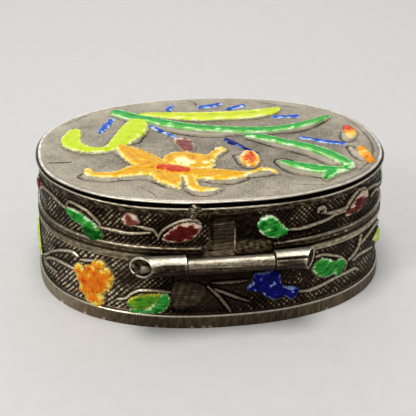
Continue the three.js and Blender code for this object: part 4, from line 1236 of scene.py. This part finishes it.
def milling(along, row):
    """Depth and shine of the foot's marks and nicks."""
    wide = 0.5 + 0.5 * np.cos(2 * np.pi * along / MILL_PITCH)
    face = span(row, 0.1, 0.2, 0.7, 0.8)
    deep = scatter(np.floor(along / MILL_PITCH), 7) ** 2
    bent = from_hinge(along)
    cut = (0.008 + 0.03 * deep) * (0.25 + 0.75 * ease(6, 16, np.abs(bent)))
    out = -cut * wide * face - 0.015 * ripple(along, row, 5, 51) * face
    sharp = 0.2 + span(bent, 2, 10, 18, 26)
    light = 0.2 * span(bent, -45, -30, -22, -14) + 0.06 * ease(-12, -16, bent)
    light += sharp * (0.12 - 0.3 * wide * (0.3 + deep)) - 0.03 * span(bent, -14, -10, 10, 16)
    shine = face * (light - 0.06)
    for at in NICKS:
        spot = hump(from_hinge(along - at), 0, 0.2) * hump(row, 0.22, 0.06)
        out = out - 0.05 * spot
        shine = shine + 0.6 * spot
    return out, shine


def foot():
    """The foot band: milled upright marks, a bright stepped top edge and small nicks low down."""
    top = FOOT_HIGH
    inner = BASE_WALL + LAP_IN
    profile = [(inner, 0.0, 0.2), (FOOT - 0.06, 0.0, 0.3), (FOOT - 0.02, 0.05, 0.4)]
    profile += [(FOOT, z, 0.4) for z in np.linspace(0.12, top - 0.34, 7)]
    profile += [(FOOT - 0.01, top - 0.24, 0.4), (FOOT - 0.05, top - 0.14, 0.8),
                (FOOT - 0.12, top - 0.04, 0.92), (FOOT - 0.18, top, 0.7), (inner, top, 0.1)]
    hoop_piece("base_foot_milled", "base_foot_band", "base", profile, FOOT_SILVER, columns=2600,
               wobble=0.008, stain=0.03, mark=milling)


def rim_band():
    """The plain band round the base's upper edge, painted dark behind the hinge as the hinge's shadow."""
    inner = BASE_WALL + LAP_IN
    profile = [(inner, BAND_LOW, 0.1), (RIM_BAND - 0.04, BAND_LOW, 0.3), (RIM_BAND, BAND_LOW + 0.08, 0.56),
               (RIM_BAND, BAND_LOW + 0.25, 0.42), (RIM_BAND + 0.005, SEAM_Z - 0.3, 0.4),
               (RIM_BAND, SEAM_Z - 0.1, 0.5), (RIM_BAND - 0.04, SEAM_Z - 0.01, 0.4), (inner, SEAM_Z, 0.1)]

    def scrapes_and_hinge_shadow(along, row):
        bent = from_hinge(along)
        shine = 0.09 + 0.16 * ease(9, 12, bent) + 0.1 * ripple(along, row * 14, 2.5, 61)
        # Scrapes, and the band painted darker behind the hinge as its shadow.
        return 0 * along, shine - 0.35 * span(bent, -13, -11, 9, 10.5)

    hoop_piece("base_rim_band_plain", "base_rim_band", "base", profile, BAND_SILVER, mark=scrapes_and_hinge_shadow)


def bezel():
    """The bezel that the lid fits over, and the tray's side inside it."""
    lip = 0.2
    top = BEZEL_HIGH - lip
    profile = [(BEZEL_INNER, FLOOR_HIGH, 0.3), (BEZEL, FLOOR_HIGH, 0.3), (BEZEL, SEAM_Z, 0.5),
               (BEZEL, top, 0.6)]
    profile += arc((BEZEL + BEZEL_INNER) / 2, top, (BEZEL - BEZEL_INNER) / 2, lip, 15, 165, 8, 0.8)
    profile += [(BEZEL_INNER, z, 0.55) for z in np.linspace(top, FLOOR_HIGH + 0.8, 9)]
    profile += [(BEZEL_INNER - 0.1, FLOOR_HIGH + 0.3, 0.4), (BEZEL_INNER - 0.3, FLOOR_HIGH + 0.04, 0.25)]
    hoop_piece("base_bezel_sheet", "base_bezel", "base", profile, INSIDE, columns=600)


FLOOR_GRID = 110  # rows of faces across the bottom plate


def floor_plate():
    """The bottom plate: the tray's floor above, the scratched underside below."""
    x, y, share = plate_grid(FLOOR_GRID)
    x, y = x * (HALF_LENGTH + BASE_WALL_INNER - LAP_IN), y * (HALF_WIDTH + BASE_WALL_INNER - LAP_IN)
    swell = 0.05 * ripple(x, y, 14, 71) * (1 - share**2)
    top = np.stack([x, y, FLOOR_HIGH - 0.02 + swell - 0.03 * (1 - share)], -1)
    dish = 0.08 * ease(1, 0.9, share) + 0.03 * ripple(x, y, 12, 72) * ease(1, 0.9, share)
    under = np.stack([x, y, dish], -1)
    wear_top = 0.5 + 0.15 * ripple(x, y, 6, 73) - 0.3 * ease(0.93, 1, share)
    wear_under = 0.42 + 0.2 * ripple(x, y, 5, 74) + 0.3 * ease(0.88, 0.94, share)
    make_piece("base_plate_sheet", np.concatenate([top, under]).reshape(-1, 3), sheet_faces(*x.shape), "base",
               INSIDE, "base_plate", np.concatenate([wear_top, wear_under]))


# ---- the hinge ----
ROLL_STEPS = 72  # rows of faces round a roll
ROLL_COLUMNS = 110  # points along it
OPENING = 10  # degrees that a roll's seam stays open
ROLL_SHEET = 0.3  # thickness of a roll's sheet where its mouth is hollowed out
LIP_LENGTH = 0.22  # how far along a roll its flared lip runs


def roll_piece(name, node, body, span_x, radii, seam, shine, seed, lift, slant=(0.0, 0.0), cut_at=0.0,
               lips=(0.0, 0.0), mouths=(0.0, 0.0), curl_in=0.0):
    """A rolled sheet round the pin. seam is where it stays open, in degrees above the outward level.

    radii, slant, lips and mouths are for the low and the high x end: slant cuts the end back, most at the
    angle cut_at, lips flares it and mouths hollows it out. shine is rows of angles and the wear there, with
    painted highlights and painted shade in it.
    lift raises the roll's outer face and curl_in tucks its lower edge under the seam."""
    low, high = span_x
    low_radius, high_radius = radii
    start, sweep = math.radians(seam + OPENING / 2), math.radians(360 - OPENING)
    turn = start + sweep * np.arange(ROLL_STEPS + 1) / ROLL_STEPS
    part = np.linspace(0, 1, ROLL_COLUMNS)
    part = part - 0.12 * np.sin(2 * np.pi * part) / 2
    # Its ends are cut at a slant.
    facing = 0.5 + 0.5 * np.cos(turn - math.radians(cut_at))
    from_x = low + slant[0] * facing[:, None]
    to_x = high - slant[1] * facing[:, None]
    x = from_x + (to_x - from_x) * part
    radius = low_radius + (high_radius - low_radius) * (x - low) / (high - low)
    t = np.broadcast_to(turn[:, None], x.shape)
    # Its outer face is dented and flares at its ends, and its inner face is the bore.
    flare = lips[0] * hump(x, from_x, LIP_LENGTH) + lips[1] * hump(x, to_x, LIP_LENGTH)
    dents = 0.02 * ripple(x, t, 2.4, seed) + 0.008 * ripple(x, t * 2, 0.6, seed + 1)
    edge = np.minimum(t - start, start + sweep - t)
    tuck = curl_in * ease(1.1, 0.1, start + sweep - t)
    outer = radius - 0.03 + dents + flare - 0.05 * ease(0.09, 0, edge) - tuck
    hollow = np.maximum(mouths[0] * ease(1.3, 0.9, x - from_x), mouths[1] * ease(1.3, 0.9, to_x - x))
    inner = BORE_RADIUS + 0.01 + (radius - ROLL_SHEET - BORE_RADIUS) * hollow

    def placed(r, rise):
        return np.stack([x, PIN_Y + r * np.cos(t), PIN_Z + rise + r * np.sin(t)], -1)

    points = np.concatenate([placed(outer, lift), placed(inner, lift * hollow)[::-1]]).reshape(-1, 3)
    wear_and_painted_light = roll_wear(x, t, shine, seed) + 3 * flare - 0.4 * ease(0.14, 0.04, edge)
    from_end = np.minimum(x - from_x + 1 - mouths[0], to_x - x + 1 - mouths[1])
    depths = 0.12 + 0.16 * ripple(x, t * 1.2, 0.8, seed + 5) + 0.6 * ease(0.2, 0.05, from_end)
    wears = np.clip(np.concatenate([wear_and_painted_light, depths[::-1]]), 0, 1)
    make_piece(name, points, roll_faces(), body, POLISHED, node, wears)


def roll_faces():
    """Faces of a roll: its outer and inner face, and its two ends."""
    rows = 2 * (ROLL_STEPS + 1)
    faces = list(grid_faces(rows, ROLL_COLUMNS, loop_rows=True))
    for i in range(ROLL_STEPS):
        a, b = i * ROLL_COLUMNS, (rows - 1 - i) * ROLL_COLUMNS
        faces.append((a, a + ROLL_COLUMNS, b - ROLL_COLUMNS, b))
        faces.append(tuple(c + ROLL_COLUMNS - 1 for c in (b, b - ROLL_COLUMNS, a + ROLL_COLUMNS, a)))
    return faces


def roll_wear(x, t, shine, seed):
    """Wear and painted light of a roll's outer face: bands of painted highlight and shade along it, and
    streaks.
    """
    angles, wears = np.asarray(shine, float).T
    degrees = np.mod(np.degrees(t) + 180, 360) - 180
    wear_and_painted_light = np.interp(degrees + 5 * ripple(x, t * 0, 3, seed + 4), angles, wears)
    return wear_and_painted_light + 0.1 * ripple(x * 0.25, t * 3, 0.7, seed + 2) + 0.05 * ripple(x, t, 0.5, seed + 3)


def strip_piece(name, body, rows, wear_and_painted_light):
    """A bent strip of sheet: rows are lists of points across it, from one long edge to the other."""
    along = np.gradient(rows, axis=0)
    across = np.gradient(rows, axis=1)
    normal = np.cross(along, across)
    normal /= np.maximum(np.linalg.norm(normal, axis=-1, keepdims=True), 1e-9)
    points = np.concatenate([rows, rows - SHEET * normal]).reshape(-1, 3)
    make_piece(name, points, sheet_faces(*rows.shape[:2]), body, DARK_SILVER, None,
               np.concatenate([wear_and_painted_light, wear_and_painted_light]))


def wall_y(x, offset):
    """How far back a wall lies on the hinge side, at places across it."""
    wall_points = oval(np.linspace(np.pi / 4, 3 * np.pi / 4, 400), offset)
    return np.interp(x, *[c[::-1] for c in wall_points])


def bearer(name, low, high):
    """The tail of a base knuckle's sheet, from under the roll back to the wall."""
    drop = 0.86
    x = np.linspace(low, high, 40)
    t = np.linspace(0, 1, 14)[:, None]
    start_y = PIN_Y - 0.35
    y = start_y + (wall_y(x, BASE_WALL - 0.05) - start_y) * t
    z = PIN_Z - drop + 0.25 * t**2 + 0.02 * ripple(np.broadcast_to(x, y.shape), y, 1.5, 81)
    rows = np.stack(np.broadcast_arrays(x, y, z), -1)
    strip_piece(name, "base", rows, 0.2 + 0.1 * ripple(rows[..., 0], y, 0.8, 82))


# Rows of an angle round the roll, in degrees above the outward level, and the wear there: over the wear,
# bright bands are painted on top as highlights and the lower side is painted dark as shade.
LIT_ABOVE_SHADED_BELOW = [(-180, 0.1), (-60, 0.03), (-14, 0.05), (-4, 0.1), (18, 0.17), (28, 0.12), (34, 0.66),
                (60, 0.7), (112, 0.66), (150, 0.3), (180, 0.1)]
TWO_HIGHLIGHTS_SHADED_BELOW = [(-180, 0.1), (-60, 0.04), (-14, 0.1), (6, 0.24), (19, 0.3), (23, 0.75), (30, 0.7), (33, 0.12),
             (40, 0.5), (60, 0.68), (100, 0.62), (150, 0.3), (180, 0.1)]
BROWN_LIT_ABOVE_SHADED_BELOW = [(-180, 0.1), (-60, 0.04), (-28, 0.05), (-16, 0.17), (6, 0.19), (16, 0.46), (26, 0.34), (52, 0.46),
         (66, 0.8), (108, 0.74), (150, 0.3), (180, 0.1)]


def knuckles():
    """The three rolls on the pin, and the tails that tie the base's two to its wall."""
    long_low, long_high = reach("base_knuckle_long", X)
    short_low, short_high = reach("base_knuckle_short", X)
    lid_low, lid_high = reach("lid_knuckle", X)
    base_radius = reach("base_knuckle_long", Z)[1] - PIN_Z
    lid_radius = 0.97
    roll_piece("base_knuckle_long_roll", "base_knuckle_long", "base", (long_low, long_high),
               (base_radius + 0.04, base_radius + 0.2), -110, LIT_ABOVE_SHADED_BELOW, 5, 0.26, slant=(0.0, 2.4),
               cut_at=15, lips=(0.06, 0.05), mouths=(0, 1))
    roll_piece("base_knuckle_short_roll", "base_knuckle_short", "base", (short_low, short_high),
               (base_radius + 0.24, base_radius + 0.06), 31, TWO_HIGHLIGHTS_SHADED_BELOW, 6, 0.12, slant=(1.5, 0.0),
               lips=(0.08, 0.04), mouths=(1, 0), curl_in=0.1)
    roll_piece("lid_knuckle_roll", "lid_knuckle", "lid", (lid_low + 0.02, lid_high - 0.06),
               (lid_radius, lid_radius), -100, BROWN_LIT_ABOVE_SHADED_BELOW, 7, -0.1)
    bearer("base_knuckle_long_tail", long_low + 0.05, long_high - 0.9)
    bearer("base_knuckle_short_tail", short_low + 0.2, short_high - 0.05)


def pin():
    """The pin, its slightly rounded ends set back inside the rolls."""
    setback, sides = 0.8, 28
    right, left = PIN_RIGHT + setback, PIN_LEFT - setback
    end = [(0.0, 0.25), (0.04, 0.42), (0.12, 0.49)]
    stations = [(right + inward, radius) for inward, radius in end]
    stations += [(x, PIN_RADIUS) for x in np.linspace(right + 0.3, left - 0.3, 30)]
    stations += [(left - inward, radius) for inward, radius in end[::-1]]
    turn = np.arange(sides) / sides * 2 * np.pi
    x, radius = [np.array(column)[:, None] + 0 * turn for column in zip(*stations)]
    points = np.stack([x, PIN_Y + radius * np.cos(turn), PIN_Z + radius * np.sin(turn)], -1)
    wear_and_painted_light = 0.3 + 0.1 * ripple(x, points[..., 2], 0.7, 91)
    make_piece("hinge_pin_rod", points.reshape(-1, 3), rod_faces(len(stations), sides), "base",
               POLISHED, "hinge_pin", wear_and_painted_light)


LEAF_LEFT, LEAF_RIGHT = -2.8, 2.7  # the edges of the leaf's upright part
LAP_LEFT = 0.1  # the free edge of the lap over it
LEAF_TOP = 15.0  # the top of both
TONGUE_RIGHT, TONGUE_TOP = 4.6, 11.3  # the leaf is wider below


def web():
    """The lid knuckle's sheet on its way from the roll over the base's rim to the lid's wall."""
    x = np.linspace(-TONGUE_RIGHT, 5.2, 80)
    t = np.linspace(0, 1, 16)[:, None]
    sunk = ease(0.0, 0.4, -x - 0.1)
    y0, z0 = PIN_Y - 0.3, PIN_Z + 0.74 - 0.3 * sunk
    z1 = LID_LOW + 0.62 - 0.6 * sunk - 0.5 * ease(3.2, 3.9, x)
    y = y0 + (wall_y(x, LID_WALL + 0.1) - y0) * t
    z = z0 + (z1 - z0) * t**1.7 - 0.04 * np.sin(np.pi * t) + 0.02 * ripple(x + 0 * t, t * 2, 0.7, 101)
    rows = np.stack(np.broadcast_arrays(x, y, z), -1)
    wear_and_painted_light = 0.28 + 0.1 * ripple(x * 0.5 + 0 * t, t * 5, 0.8, 102) - 0.26 * sunk
    strip_piece("lid_hinge_web", "lid", rows, wear_and_painted_light)


def upon(offset):
    """The place function of the patches that lie on a wall."""
    def place(along, up, out):
        return on_wall(along, up, offset + out)

    return place


def hinge_leaf():
    """The leaf soldered up the lid's wall, with fine level striations."""
    outline = [(LEAF_LEFT, LID_LOW + 0.3), (LEAF_LEFT + 0.02, 12), (LEAF_LEFT, LEAF_TOP - 0.05),
               (-1, LEAF_TOP), (LEAF_RIGHT - 0.2, LEAF_TOP - 0.05), (LEAF_RIGHT, 13),
               (LEAF_RIGHT, TONGUE_TOP), (TONGUE_RIGHT - 0.2, TONGUE_TOP - 0.05),
               (TONGUE_RIGHT, LID_LOW + 0.5), (0, LID_LOW + 0.3)]

    def face(u, v, depth):
        waves = np.sin(v * 13 + 1.6 * ripple(u * 0.45, v, 1.6, 111))
        column = ease(-2.5, -2.2, u)
        lozenge, shade = hatch(u, v, LID_PITCH)
        chased = (1 - column) * span(v, 10.9, 11, 11.8, 12)
        height = SHEET * dome(depth / 0.12) * (0.35 + 0.65 * column)
        height += 0.014 * waves - 0.06 * chased * (1 - lozenge)
        light_line = hump(v - 0.06 * np.sin(u), 13.95, 0.08) * ease(-1.0, -1.6, u)
        bead_line = hump(v, 10.72, 0.13) * (1 - column)
        wear_and_painted_light = 0.04 + 0.2 * column + 0.05 * waves + 0.24 * light_line + 0.12 * bead_line
        wear_and_painted_light += chased * (0.4 * lozenge * (0.3 + 0.8 * shade) - 0.02) + 0.06 * ripple(u, v * 3, 1.1, 112)
        wear_and_painted_light += 0.16 * ease(11.8, 10.8, v) - 0.16 * ease(14.0, 14.6, v)
        return height, np.clip(wear_and_painted_light, 0.02, 1)

    cell_patch("lid_hinge_leaf", outlined("silver", *outline), upon(LID_WALL), "lid", DARK_SILVER,
               "tarnished_silver", surface=face, skirt=0.05, jag=0.01)


def lap():
    """The end of the wall's strip, lapped over the right half of the leaf: a light worn edge round it."""
    low = LID_LOW + 0.04
    outline = [(LAP_LEFT, 10.8), (LAP_LEFT, 12.6), (LAP_LEFT + 0.02, 14.6), (LAP_LEFT + 0.3, LEAF_TOP),
               (1.4, LEAF_TOP + 0.02), (LEAF_RIGHT + 0.2, LEAF_TOP), (LEAF_RIGHT + 0.4, 13.4),
               (LEAF_RIGHT + 0.7, 12.2), (LEAF_RIGHT + 1.3, 11.5), (TONGUE_RIGHT, TONGUE_TOP - 0.1),
               (TONGUE_RIGHT + 0.15, 10.6), (TONGUE_RIGHT + 0.1, low), (2.4, low - 0.02), (0.9, low + 0.04),
               (0.35, low + 0.35)]

    def face(u, v, depth):
        lozenge, shade = hatch(u, v, LID_PITCH)
        chased = ease(11.4, 11.9, v)
        height = SHEET * dome(depth / 0.1) - 0.05 * (1 - lozenge) * chased + 0.015 * ripple(u, v, 0.5, 121)
        left_edge = ease(0.9, 0.6, u) * ease(13.9, 12.9, v)
        lower_edge = ease(low + 0.7, low + 0.4, v) * ease(4.8, 4, u)
        lit = ease(0.22, 0.05, depth) * np.maximum(left_edge, lower_edge)
        wear_and_painted_light = 0.04 + 0.1 * lozenge * shade * chased + 0.62 * lit
        wear_and_painted_light += (1 - chased) * (0.27 + 0.16 * ripple(u, v, 0.45, 122))
        wear_and_painted_light += 0.06 * chased * ripple(u, v, 0.6, 123)
        return height, np.clip(wear_and_painted_light, 0, 1)

    cell_patch("lid_wall_lap_end", outlined("silver", *outline), upon(LID_WALL + SHEET + 0.02), "lid",
               DARK_SILVER, "tarnished_silver", "lid_wall_lap", surface=face, skirt=0.0, jag=0.015)


def solder_lump():
    """A small run of solder that bridges the plate's edge and the wire."""
    rings, sides = 22, 18
    top, bottom = TOP_Z - 0.3, LID_LOW + 4.8
    left_of_hinge = 4.65
    t = np.linspace(0, 1, rings)[:, None]
    turn = np.arange(sides) / sides * 2 * np.pi
    up = top + (bottom - top) * t + 0 * turn
    width = 1.35 * (0.6 - 0.2 * t + 0.14 * np.sin(t * 7)) * np.sin(np.pi * np.clip(t, 0.02, 0.98)) ** 0.5
    along = 0.12 * np.sin(t * 5) - left_of_hinge + width * np.cos(turn)
    out = LID_WALL + 0.08 + 0.5 * width * np.sin(turn) + 0.12 * ease(0.5, 0.1, t)
    out = out + 0.04 * ripple(along, up, 0.4, 131)
    wear_and_painted_light = np.clip(0.4 + 0.5 * ripple(along, up, 0.34, 132), 0, 1)
    make_piece("lid_solder_lump", on_wall(along, up, out).reshape(-1, 3), rod_faces(rings, sides), "lid",
               BAND_SILVER, None, wear_and_painted_light)


# ---- enamel ----
def on_top(right, away, out):
    """A cell's place on the plate."""
    return on_plate(right, away - CELL_SHIFT - DRAWING_SHIFT, out)


HEART_LIFT = 0.26  # how far the flower's heart lies over the plate


def on_flower(right, away, out):
    """The place of the flower's heart, over its petals."""
    return on_top(right, away, out + HEART_LIFT)


def plate_enamels():
    """The enamel in the plate's cells, and the flower's heart over it."""
    for name, cell in TOP_CELLS.items():
        cell_patch(name + "_enamel", cell, on_top, "lid", ENAMELS[cell.enamel], slot_of(cell.enamel), name,
                   edge=0.04 if "dash" in name else PLATFORM + 0.03,
                   jag=0.17 if cell.lay in ("petal", "soft") else 0.1)
    cell_patch("top_flower_heart_enamel", HEART, on_flower, "lid", ENAMELS["red"], slot_of("red"),
               "top_flower_heart", edge=0.0, skirt=0.2, jag=0.12)


def wall_enamel(name, cell, body, offset):
    """The enamel in one cell of a wall; cells that are not in the CAD replace no node."""
    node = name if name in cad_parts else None
    jag = 0.24 if cell.lay == "bloom" else 0.16 if "flower" in name else 0.1
    cell_patch(name + "_enamel", cell, upon(offset), body, ENAMELS[cell.enamel], slot_of(cell.enamel), node,
               edge=0.08, jag=jag, spacing=0.08)


def wall_enamels():
    """The enamel on both walls, and the leaf that has lost its own."""
    for name, cell in LID_CELLS.items():
        over_lap = 2 * SHEET if name == "lid_leaf_3" else 0.0
        wall_enamel(name, cell, "lid", LID_WALL + over_lap)
    for name, cell in BASE_CELLS.items():
        wall_enamel(name, cell, "base", BASE_WALL)
    cell_patch("base_leaf_2_silver", PLAIN_LEAF, upon(BASE_WALL), "base", DARK_SILVER, "tarnished_silver",
               "base_leaf_2", surface=plain_leaf_face)


def plain_leaf_face(along, up, depth):
    """A leaf whose enamel is gone: dull metal with fine level grain."""
    grain = np.sin(up * 16 + 1.5 * ripple(along * 0.4, up, 1.5, 141))
    height = 0.03 + 0.15 * dome(depth / 0.3) + 0.01 * grain
    wear_and_painted_light = 0.25 + 0.03 * grain + 0.06 * ripple(along, up, 0.8, 142)
    wear_and_painted_light -= 0.14 * ease(0.12, 0.04, depth) + 0.1 * ease(5.2, 6.2, up)
    return height, np.clip(wear_and_painted_light, 0, 1)


# ---- floor, light and camera ----
def stage():
    """A pale floor, seen up to well beyond the box."""
    far = 3.0
    corners = [(-far, -far, 0), (far, -far, 0), (far, far, 0), (-far, far, 0)]
    mesh = bpy.data.meshes.new("floor")
    mesh.from_pydata(corners, [], [(0, 1, 2, 3)])
    floor = bpy.data.objects.new("floor", mesh)
    bpy.context.collection.objects.link(floor)
    shader = Shader("pale_floor")
    fine = shader.noise(2.5, 3)
    shader.set(Base_Color=shader.ramp(fine, [(0.0, (205, 204, 201)), (1.0, (216, 215, 212))]), Roughness=0.7)
    mesh.materials.append(shader.material)


def soft_light(name, place, size, power, colour=(1, 1, 1)):
    """A round light that faces the box: place and size in metres, power in watts."""
    data = bpy.data.lights.new(name, "AREA")
    data.shape = "DISK"
    data.size = size
    data.energy = power
    data.color = colour
    lamp = bpy.data.objects.new(name, data)
    lamp.location = place
    lamp.rotation_mode = "QUATERNION"
    lamp.rotation_quaternion = (Vector((0, 0, 0.01)) - Vector(place)).to_track_quat("-Z", "Y")
    bpy.context.collection.objects.link(lamp)


def lights():
    """A pale sky, and three soft lights."""
    world = bpy.data.worlds.new("studio")
    world.use_nodes = True
    sky = world.node_tree.nodes["Background"]
    sky.inputs["Color"].default_value = (0.93, 0.95, 1.0, 1)
    sky.inputs["Strength"].default_value = 0.42
    bpy.context.scene.world = world
    soft_light("overhead", (0.03, 0.06, 0.5), 0.22, 1.45, (1, 0.98, 0.95))
    soft_light("window", (0.3, 0.22, 0.28), 0.12, 0.5, (1, 0.97, 0.92))
    soft_light("far_side", (-0.05, -0.46, 0.22), 0.4, 0.4)
    bpy.context.scene.view_settings.view_transform = "Standard"


YAW, PITCH, ROLL = 0.160851, 0.454460, 0.012079
DISTANCE = 0.13566
AIM_HEIGHT = 8e-3  # about half the box's height
AIM_RIGHT, AIM_UP = -0.205e-3, -0.542e-3  # how far the view's middle lies from there
LENS = 87.18
SENSOR = 36


def camera():
    """The camera on the hinge side: angles in radians, lengths in metres, lens and sensor in millimetres."""
    forward = Vector((-math.cos(PITCH) * math.sin(YAW), -math.cos(PITCH) * math.cos(YAW), -math.sin(PITCH)))
    right = Vector((-math.cos(YAW), math.sin(YAW), 0))
    up = right.cross(forward)
    place = Vector((0, 0, AIM_HEIGHT)) - forward * DISTANCE + right * AIM_RIGHT + up * AIM_UP
    rolled_right = right * math.cos(ROLL) + up * math.sin(ROLL)
    rolled_up = up * math.cos(ROLL) - right * math.sin(ROLL)
    data = bpy.data.cameras.new("camera")
    data.lens = LENS
    data.sensor_width = SENSOR
    data.clip_start = 0.01
    data.clip_end = 20
    made = bpy.data.objects.new("camera", data)
    made.matrix_world = Matrix((
        (rolled_right.x, rolled_up.x, -forward.x, place.x),
        (rolled_right.y, rolled_up.y, -forward.y, place.y),
        (rolled_right.z, rolled_up.z, -forward.z, place.z),
        (0, 0, 0, 1),
    ))
    bpy.context.collection.objects.link(made)
    bpy.context.scene.camera = made


lid_plate()
lid_plate_inside()
lid_wall()
rim_wire()
bead()
base_wall()
foot()
rim_band()
bezel()
floor_plate()
knuckles()
pin()
web()
hinge_leaf()
lap()
solder_lump()
plate_enamels()
wall_enamels()
stage()
lights()
camera()
